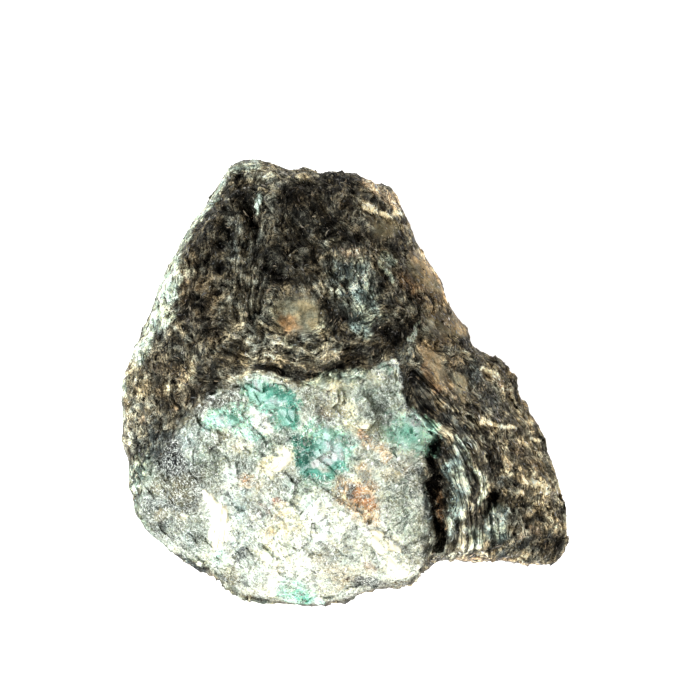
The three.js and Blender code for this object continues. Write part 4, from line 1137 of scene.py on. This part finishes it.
class StoneSizes(bpy.types.PropertyGroup):
    voxel: FloatProperty(name="Voxel", description="Spacing of the form's even mesh", default=0.40 * MM,
                         unit="LENGTH")
    triangles: IntProperty(name="Schist triangles", description="What the flanks are thinned to reach",
                           default=196000)
    pod_spacing: FloatProperty(name="Pod spacing", description="Spacing of the pod's mesh", default=0.11 * MM,
                               unit="LENGTH")
    inlay_spacing: FloatProperty(name="Inlay spacing", description="Spacing of the blades' and beryl's meshes",
                                 default=0.13 * MM, unit="LENGTH")
    slivers: IntProperty(name="Slivers", description="Curled mica slivers on the front face", default=9000)
    flakes: IntProperty(name="Flakes", description="Mica flakes on the flanks", default=18000)
    grains: IntProperty(name="Grains", description="Feldspar grains on the pod", default=14000)
    clear_grains: IntProperty(name="Clear grains", description="Quartz grains on the pod", default=3000)


class StageSizes(bpy.types.PropertyGroup):
    lens: FloatProperty(name="Lens", description="Focal length of the camera in millimetres", default=200)
    camera_height: FloatProperty(name="Camera height", description="Camera above the widest line of the lump",
                                 default=0.455, unit="LENGTH")
    floor_size: FloatProperty(name="Floor size", description="Width of the square floor", default=3.0,
                              unit="LENGTH")


class Maker(bpy.types.Operator):
    """What the operators share"""
    bl_options = {"REGISTER", "UNDO"}

    def keep(self, piece, slot, material, smooth_angle=None):
        """Gives a finished piece its material, its shading and its body. The slot is not used."""
        piece.data.materials.clear()
        piece.data.materials.append(material)
        make_active(piece)
        if smooth_angle is None:
            bpy.ops.object.shade_flat()
        else:
            bpy.ops.object.shade_smooth_by_angle(angle=math.radians(smooth_angle))
        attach(piece, BODY)


class EMERALD_OT_stage(Maker):
    """Adds the floor, the lights and the camera"""
    bl_idname = "emerald.stage"
    bl_label = "Stage"

    # Each light: where it stands, its width and height, its power in watts and its colour.
    LIGHTS = {
        "window left": ((-0.30, 0.03, 0.20), (0.26, 0.30), 1.8, (0.95, 0.99, 1.0)),
        "lamp right": ((0.34, -0.06, 0.12), (0.16, 0.20), 1.3, (1.0, 0.95, 0.88)),
        "fill below": ((-0.06, -0.34, 0.22), (0.30, 0.20), 1.3, (1.0, 0.98, 0.95)),
        "rim above": ((-0.02, 0.36, 0.10), (0.34, 0.12), 0.4, (1.0, 0.95, 0.86)),
    }
    WIDEST_HEIGHT = 13.5 * MM
    FRAME_MIDDLE = (0.70 * MM, 3.86 * MM)
    SENSOR = 36
    AIM = Vector((0, 0, 0.018))
    WORLD_STRENGTH = 0.18

    def execute(self, context):
        sizes = context.scene.stage_sizes
        deselect_all()
        bpy.ops.mesh.primitive_plane_add(size=sizes.floor_size, location=(0, 0, 0))
        floor = context.object
        floor.name = "floor"
        floor.data.materials.append(floor_material(context.scene.mineral_colours))
        for name, (place, (width, height), power, colour) in self.LIGHTS.items():
            deselect_all()
            bpy.ops.object.light_add(type="AREA", location=place)
            light = context.object
            light.name = name
            light.data.shape = "RECTANGLE"
            light.data.size = width
            light.data.size_y = height
            light.data.energy = power
            light.data.color = colour
            light.rotation_euler = (self.AIM - Vector(place)).to_track_quat("-Z", "Y").to_euler()
        world = bpy.data.worlds.new("studio")
        world.use_nodes = True
        world.node_tree.nodes["Background"].inputs["Color"].default_value = (1, 1, 1, 1)
        world.node_tree.nodes["Background"].inputs["Strength"].default_value = self.WORLD_STRENGTH
        context.scene.world = world
        context.scene.view_settings.view_transform = "Standard"
        deselect_all()
        bpy.ops.object.camera_add(location=(*self.FRAME_MIDDLE, self.WIDEST_HEIGHT + sizes.camera_height),
                                  rotation=(0, 0, 0))
        camera = context.object
        camera.name = "camera"
        camera.data.lens = sizes.lens
        camera.data.sensor_width = self.SENSOR
        context.scene.camera = camera
        return {"FINISHED"}


class EMERALD_OT_form(Maker):
    """Adds the broken form that the pieces are laid on, without its fine relief"""
    bl_idname = "emerald.form"
    bl_label = "Broken form"

    # A ledge drops over its run, and its tread comes back up over this far.
    LEDGE_TREAD = (1.2, 4)
    LEDGE_LIP = 0.5

    def execute(self, context):
        piece = smooth_lump(FORM, context.scene.stone_sizes.voxel / MM)
        points = points_of(piece)
        normals = normals_of(piece)
        up = smoothstep(0.05, 0.5, normals[:, 2]) * smoothstep(4, 9, points[:, 2])
        xy = points[:, :2]
        rise = np.zeros(len(points))
        for path, height, width in CREASES.values():
            rise += height * bell(nearest_on_path(xy, path)[0], width)
        for path, drop, run in LEDGES.values():
            away, side = nearest_on_path(xy, path)
            below = -away * side
            rise -= drop * smoothstep(-run, run, below) * (1 - smoothstep(*self.LEDGE_TREAD, below))
            rise += self.LEDGE_LIP * drop * bell(away, self.LEDGE_LIP)
        points[:, 2] += rise * up
        for path, height, width in SWELLS.values():
            points[:, :2] += normals[:, :2] * height * bell(nearest_on_path(xy, path)[0], width)[:, None]
        set_points(piece, points)
        piece.hide_render = True
        return {"FINISHED"}


class EMERALD_OT_schist(Maker):
    """Adds the dark mica schist that the lump is made of"""
    bl_idname = "emerald.schist"
    bl_label = "Mica schist"

    WIDEST = 13.5
    REST_HEIGHT = 1.2

    def refine_front(self, piece):
        """Divides the faces that the front shows, outside the pod, so that they hold finer relief."""
        centres = read(piece.data.polygons, "center", 3) / MM
        normals = read(piece.data.polygons, "normal", 3)
        hidden = depth_in_loop(centres[:, :2], POD_EDGE) > POD_SINK
        edit_faces(piece, (normals[:, 2] > 0.3) & (centres[:, 2] > 8) & ~hidden)
        bpy.ops.mesh.subdivide(number_cuts=1, smoothness=0)
        bpy.ops.object.mode_set(mode="OBJECT")

    def relief(self, points, normals):
        """How far the schist rises along its normal, and how far it drops straight down."""
        front = smoothstep(0.05, 0.5, normals[:, 2]) * smoothstep(4, 9, points[:, 2])
        layer = foliation(points)
        lumps = 0.35 * noise(points, 3.4, 1) + 0.24 * noise(points, 1.7, 2) + 0.1 * noise(points, 0.9, 3)
        bent = points + 0.4 * noise(points, 1.1, 7)[:, None]
        broken = 0.45 * facets(points, 5.2, 0.9, 0.1, 6) + 0.5 * facets(bent, 2.4, 0.8, 0.2, 8)
        chips = facets(bent, 1.2, 0.18, 0.14, 9)
        sheets = facets(np.stack([layer * 1.6, *points[:, :2].T], axis=1), 2, 0.3, 0.05, 12)
        drawn = 0.3 * strands(points, layer, 1.4, 4.5, 13) + 0.22 * strands(points, layer, 0.8, 2.4, 14)
        drawn += 0.1 * strands(points, layer, 0.5, 1.4, 15)
        outline = bell(points[:, 2] - self.WIDEST, 5) * bell(normals[:, 2], 0.6)
        calm = 1 - 0.75 * lens_share(points) * front
        fold = fold_share(points)
        flank = 1 - front
        rise = (0.5 + 0.1 * flank) * broken + (1 - 0.4 * flank) * (lumps + chips) + (1 + 0.6 * flank) * sheets
        rise = rise * (1 - 0.7 * fold) + (1 + fold + 0.5 * flank) * drawn
        rise *= calm * (1 - 0.8 * outline)
        return rise, POD_SINK * smoothstep(*SINK_RUN, pod_depth(points)) * front

    def thin_flanks(self, piece, triangles):
        """Merges triangles of the flanks and the underside, and leaves the front's alone."""
        group = piece.vertex_groups.new(name="flanks")
        flank = (normals_of(piece)[:, 2] < 0.22) | (points_of(piece)[:, 2] < 7)
        group.add(np.flatnonzero(flank).tolist(), 1, "REPLACE")
        piece.data.calc_loop_triangles()
        ratio = triangles / len(piece.data.loop_triangles)
        apply_modifier(piece, "DECIMATE", ratio=ratio, vertex_group="flanks", vertex_group_factor=10)
        piece.vertex_groups.clear()

    def execute(self, context):
        form = bpy.data.objects[FORM]
        piece = bpy.data.objects.new("mica_schist", form.data.copy())
        context.scene.collection.objects.link(piece)
        piece.data.name = piece.name
        self.refine_front(piece)
        points = points_of(piece)
        normals = normals_of(piece)
        under = smoothstep(-0.7, -0.95, normals[:, 2]) * smoothstep(self.REST_HEIGHT, 0.6, points[:, 2])
        rise, sink = self.relief(points, normals)
        points += normals * (rise * smoothstep(0.2, 2.5, points[:, 2]))[:, None]
        points[:, 2] = np.maximum(points[:, 2] - sink, 0) * (1 - under)
        set_points(piece, points)
        self.thin_flanks(piece, context.scene.stone_sizes.triangles)
        points = points_of(piece)
        up = normals_of(piece)[:, 2]
        front = smoothstep(-0.02, 0.25, up) * smoothstep(9.5, 13, points[:, 2])
        flank = flank_colour(points)
        set_attributes(piece, {
            "paint": flank + front[:, None] * (front_colour(points) - flank),
            "layer": foliation(points),
            "sugar": front * smoothstep(-0.9, 0.7, pod_depth(points) + 0.5 * noise(points, 1.2, 61)),
            "smooth": front * lens_share(points),
            "fold": fold_share(points),
            # Relief: how far the surface stands out, which the material turns into painted shade and highlight.
            "relief": np.clip(0.5 + 2 * standing_out(piece, 5) + 0.7 * standing_out(piece, 40), 0, 1),
        })
        self.keep(piece, "schist", rock_material("mica schist", context.scene.mineral_colours), 50)
        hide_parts(LUMP)
        return {"FINISHED"}


class EMERALD_OT_pod(Maker):
    """Adds the pale pod of feldspar, quartz and beryl in the front face"""
    bl_idname = "emerald.pod"
    bl_label = "Pale pod"

    DEPTH = 2

    def relief(self, points, inside):
        flat = flattened(points)
        bent = flat + 0.35 * np.stack([noise(flat, 1.2, 30), noise(flat, 1.2, 31), 0 * inside], axis=1)
        height = facets(bent, 3.6, 0.25, 0.15, 32)
        height += facets(bent, 1.6, 0.05, 0.16, 33)
        height += facets(bent, 0.7, 0, 0.13, 34)
        height += 0.04 * noise(flat, 0.35, 35) + 0.14 * noise(flat, 0.9, 36) + 0.3 * noise(flat, 2.6, 37)
        return 0.8 * height - 0.2 * bell(inside, 0.5)

    def execute(self, context):
        piece = sheet_inside("pale_pod", POD_EDGE, context.scene.stone_sizes.pod_spacing / MM, 0.5, 40)
        points = points_of(piece)
        inside = pod_depth(points)
        crystals = facets(flattened(points), 1.7, 0.45, 0, 38) + facets(flattened(points), 0.8, 0.25, 0, 39)
        points[:, 2] += self.relief(points, inside)
        set_points(piece, points)
        set_attributes(piece, {
            "paint": front_colour(points) * (1 + crystals[:, None]),
            "layer": foliation(points),
            "sugar": smoothstep(-0.9, 0.7, inside + 0.5 * noise(points, 1.2, 61)),
            "smooth": np.zeros(len(points)),
            "fold": np.zeros(len(points)),
            # Relief: how far the surface stands out, which the material turns into painted shade and highlight.
            "relief": np.clip(0.5 + 2 * standing_out(piece, 4) + 0.8 * standing_out(piece, 30), 0, 1),
        })
        close_below(piece, self.DEPTH)
        self.keep(piece, "feldspar", rock_material("feldspar pod", context.scene.mineral_colours), 35)
        return {"FINISHED"}


class EMERALD_OT_blades(Maker):
    """Adds the feldspar blades that stand out in the pod"""
    bl_idname = "emerald.blades"
    bl_label = "Feldspar blades"

    RISE = 0.5
    DEPTH = 1.2
    WANDER = 0.16

    def execute(self, context):
        spacing = context.scene.stone_sizes.inlay_spacing / MM
        material = blade_material(context.scene.mineral_colours)
        for seed, (name, (edge, turn)) in enumerate(BLADES.items(), start=140):
            piece = sheet_inside(f"feldspar_blade_{name}", edge, spacing, self.WANDER, seed)
            points = points_of(piece)
            inside = depth_in_loop(wandering(points, self.WANDER, seed), edge)
            angle = math.radians(turn)
            across = points[:, 1] * math.cos(angle) - points[:, 0] * math.sin(angle)
            steps = facets(np.stack([across * 2.5, 0.25 * points[:, 0], 0 * across], axis=1), 1.4, 0.22, 0.05, 50)
            points[:, 2] += self.RISE * (smoothstep(-0.1, 0.45, inside) - 0.5) + steps
            points[:, 2] += 0.05 * noise(points, 0.5, 51)
            set_points(piece, points)
            set_attributes(piece, {"layer": across})
            close_below(piece, self.DEPTH)
            self.keep(piece, "feldspar", material, 40)
        return {"FINISHED"}


class EMERALD_OT_beryl(Maker):
    """Adds the blue-green beryl, the emerald itself, that stands out of the pod"""
    bl_idname = "emerald.beryl"
    bl_label = "Beryl"

    RISE = 0.9
    DEPTH = 1.5
    WANDER = 0.3

    def execute(self, context):
        spacing = context.scene.stone_sizes.inlay_spacing / MM
        material = beryl_material(context.scene.mineral_colours)
        for seed, (name, edge) in enumerate(BERYL.items(), start=160):
            piece = sheet_inside(f"emerald_{name}", edge, spacing, self.WANDER, seed)
            points = points_of(piece)
            flat = flattened(points)
            inside = depth_in_loop(wandering(points, self.WANDER, seed), edge)
            points[:, 2] += self.RISE * (smoothstep(-0.2, 0.9, inside) - 0.6)
            points[:, 2] += facets(flat, 2.2, 0.4, 0.24, 52) + facets(flat, 0.9, 0.1, 0.2, 53)
            set_points(piece, points)
            set_attributes(piece, {"paint": front_colour(points)})
            close_below(piece, self.DEPTH)
            self.keep(piece, "emerald", material, 30)
        return {"FINISHED"}


class EMERALD_OT_flakes(Maker):
    """Scatters curled slivers of mica over the front of the schist and thin flakes over its flanks"""
    bl_idname = "emerald.flakes"
    bl_label = "Mica flakes"

    # A sliver is a bent needle. A flake is a flat plate with four corners that narrows to a point below.
    SLIVER = [(-1, 0, 0), (1, 0, 0), (0, 0.5, 0.05), (0.05, 0.15, 0.1), (-0.05, 0.2, -0.15)]
    SLIVER_FACES = [(2, 3, 1), (3, 4, 1), (4, 2, 1), (3, 2, 0), (4, 3, 0), (2, 4, 0)]
    SLIVER_LENGTH = 0.2
    FLAKE = [(-1, 0.1, 0.1), (-0.1, -0.5, 0.1), (1, -0.1, 0.1), (0.1, 0.5, 0.1), (0, 0, -0.4)]
    FLAKE_FACES = [(0, 1, 2), (0, 2, 3), (1, 0, 4), (2, 1, 4), (3, 2, 4), (0, 3, 4)]
    FLAKE_LENGTH = 0.2

    def scatter(self, name, shape, faces, length, count, weight, colour):
        rng = np.random.default_rng(count)
        spots, normals = Surface(bpy.data.objects["mica_schist"]).pick(count, weight, rng)
        outward = unit(normals + 0.08 * rng.normal(size=(count, 3)))
        along = self.layer_direction(spots, outward) * rng.choice((-1, 1), (count, 1))
        along += 0.35 * rng.normal(size=(count, 3))
        along = unit(along - np.einsum("ij,ij->i", along, outward)[:, None] * outward)
        across = np.cross(outward, along)
        size = length * rng.lognormal(0, 0.4, (count, 1))
        width = size * rng.uniform(0.6, 1.3, (count, 1))
        axes = np.stack([size * along, width * across, size * outward], axis=1)
        warmth = rng.uniform(-1, 1, (count, 1)) * (0.12, 0, -0.15) + 1
        # Painted glint: a few flakes get extra tan brightness, as if catching the light.
        shine = 1.2 * rng.random((count, 1)) ** 9
        paint = colour(spots) * rng.lognormal(-0.3, 0.9, (count, 1)) + shine * colour_of("tan_grey")
        paint = np.minimum(paint * warmth, 0.85)
        return scattered(name, shape, faces, spots, axes, {"paint": paint})

    def execute(self, context):
        sizes = context.scene.stone_sizes
        material = flake_material(context.scene.mineral_colours)
        surface = Surface(bpy.data.objects["mica_schist"])
        height = surface.middle[:, 2]
        front = (surface.normal[:, 2] > 0.3) & (height > 9) & (pod_depth(surface.middle) < 0.3)
        front = front * (1 - 0.8 * lens_share(surface.middle))
        flank = (surface.normal[:, 2] <= 0.3) & (height > 0.5) & (np.abs(height - 13.5) > 0.7)
        slivers = self.scatter("mica_slivers", self.SLIVER, self.SLIVER_FACES, self.SLIVER_LENGTH,
                               sizes.slivers, front, front_colour)
        flakes = self.scatter("mica_flakes", self.FLAKE, self.FLAKE_FACES, self.FLAKE_LENGTH,
                              sizes.flakes, flank, flank_colour)
        self.keep(slivers, "mica", material)
        self.keep(flakes, "mica", material)
        return {"FINISHED"}

    def layer_direction(self, spots, outward):
        """The way a layer runs along the surface: square to the layers' own slope and to the surface's normal."""
        step = 0.2
        slope = np.stack([foliation(spots + step * axis) - foliation(spots - step * axis)
                          for axis in np.eye(3)], axis=1)
        return np.cross(outward, unit(slope))


class EMERALD_OT_grains(Maker):
    """Scatters feldspar and quartz grains over the pod"""
    bl_idname = "emerald.grains"
    bl_label = "Grains"

    # A grain is a lopsided double pyramid.
    SHAPE = [(1, 0, 0), (0, 0.8, 0.1), (-0.9, 0.1, 0), (0, -0.7, -0.1), (0.1, 0, 0.8), (0, 0.1, -0.7)]
    FACES = [(0, 1, 4), (1, 2, 4), (2, 3, 4), (3, 0, 4), (1, 0, 5), (2, 1, 5), (3, 2, 5), (0, 3, 5)]

    def scatter(self, name, count, length, seed):
        rng = np.random.default_rng(seed)
        surface = Surface(bpy.data.objects["pale_pod"])
        spots, _ = surface.pick(count, surface.normal[:, 2] > 0.2, rng)
        outward = unit(rng.normal(size=(count, 3)))
        along = unit(np.cross(outward, rng.normal(size=(count, 3))))
        across = np.cross(outward, along)
        size = length * rng.lognormal(0, 0.4, (count, 1))
        axes = np.stack([1.5 * size * along, size * across, size * outward], axis=1)
        paint = np.minimum(front_colour(spots) * rng.lognormal(0.1, 0.35, (count, 1)), 0.9)
        return scattered(name, self.SHAPE, self.FACES, spots, axes, {"paint": paint})

    def execute(self, context):
        sizes = context.scene.stone_sizes
        colours = context.scene.mineral_colours
        self.keep(self.scatter("feldspar_grains", sizes.grains, 0.1, 9), "feldspar", grain_material(colours))
        self.keep(self.scatter("quartz_grains", sizes.clear_grains, 0.16, 10), "quartz", quartz_material(colours))
        return {"FINISHED"}


class EMERALD_OT_clear(Maker):
    """Removes the form once everything is laid on it"""
    bl_idname = "emerald.clear"
    bl_label = "Remove the form"

    def execute(self, context):
        bpy.data.objects.remove(bpy.data.objects[FORM])
        return {"FINISHED"}


STEPS = (EMERALD_OT_stage, EMERALD_OT_form, EMERALD_OT_schist, EMERALD_OT_pod, EMERALD_OT_blades,
         EMERALD_OT_beryl, EMERALD_OT_flakes, EMERALD_OT_grains, EMERALD_OT_clear)
GROUPS = {"mineral_colours": MineralColours, "stone_sizes": StoneSizes, "stage_sizes": StageSizes}


class EMERALD_PT_panel(bpy.types.Panel):
    """Lists the steps that make the stone"""
    bl_idname = "EMERALD_PT_panel"
    bl_label = "Raw emerald"
    bl_space_type = "VIEW_3D"
    bl_region_type = "UI"
    bl_category = "Raw emerald"

    def draw(self, context):
        for step in STEPS:
            self.layout.operator(step.bl_idname)
        for name, group in GROUPS.items():
            for value in group.__annotations__:
                self.layout.prop(getattr(context.scene, name), value)


CLASSES = (*GROUPS.values(), *STEPS, EMERALD_PT_panel)


def register():
    for item in CLASSES:
        bpy.utils.register_class(item)
    for name, group in GROUPS.items():
        setattr(bpy.types.Scene, name, PointerProperty(type=group))


def unregister():
    for name in GROUPS:
        delattr(bpy.types.Scene, name)
    for item in reversed(CLASSES):
        bpy.utils.unregister_class(item)


def main():
    register()
    bpy.ops.emerald.stage()
    bpy.ops.emerald.form()
    bpy.ops.emerald.schist()
    bpy.ops.emerald.pod()
    bpy.ops.emerald.blades()
    bpy.ops.emerald.beryl()
    bpy.ops.emerald.flakes()
    bpy.ops.emerald.grains()
    bpy.ops.emerald.clear()


if __name__ == "__main__":
    main()
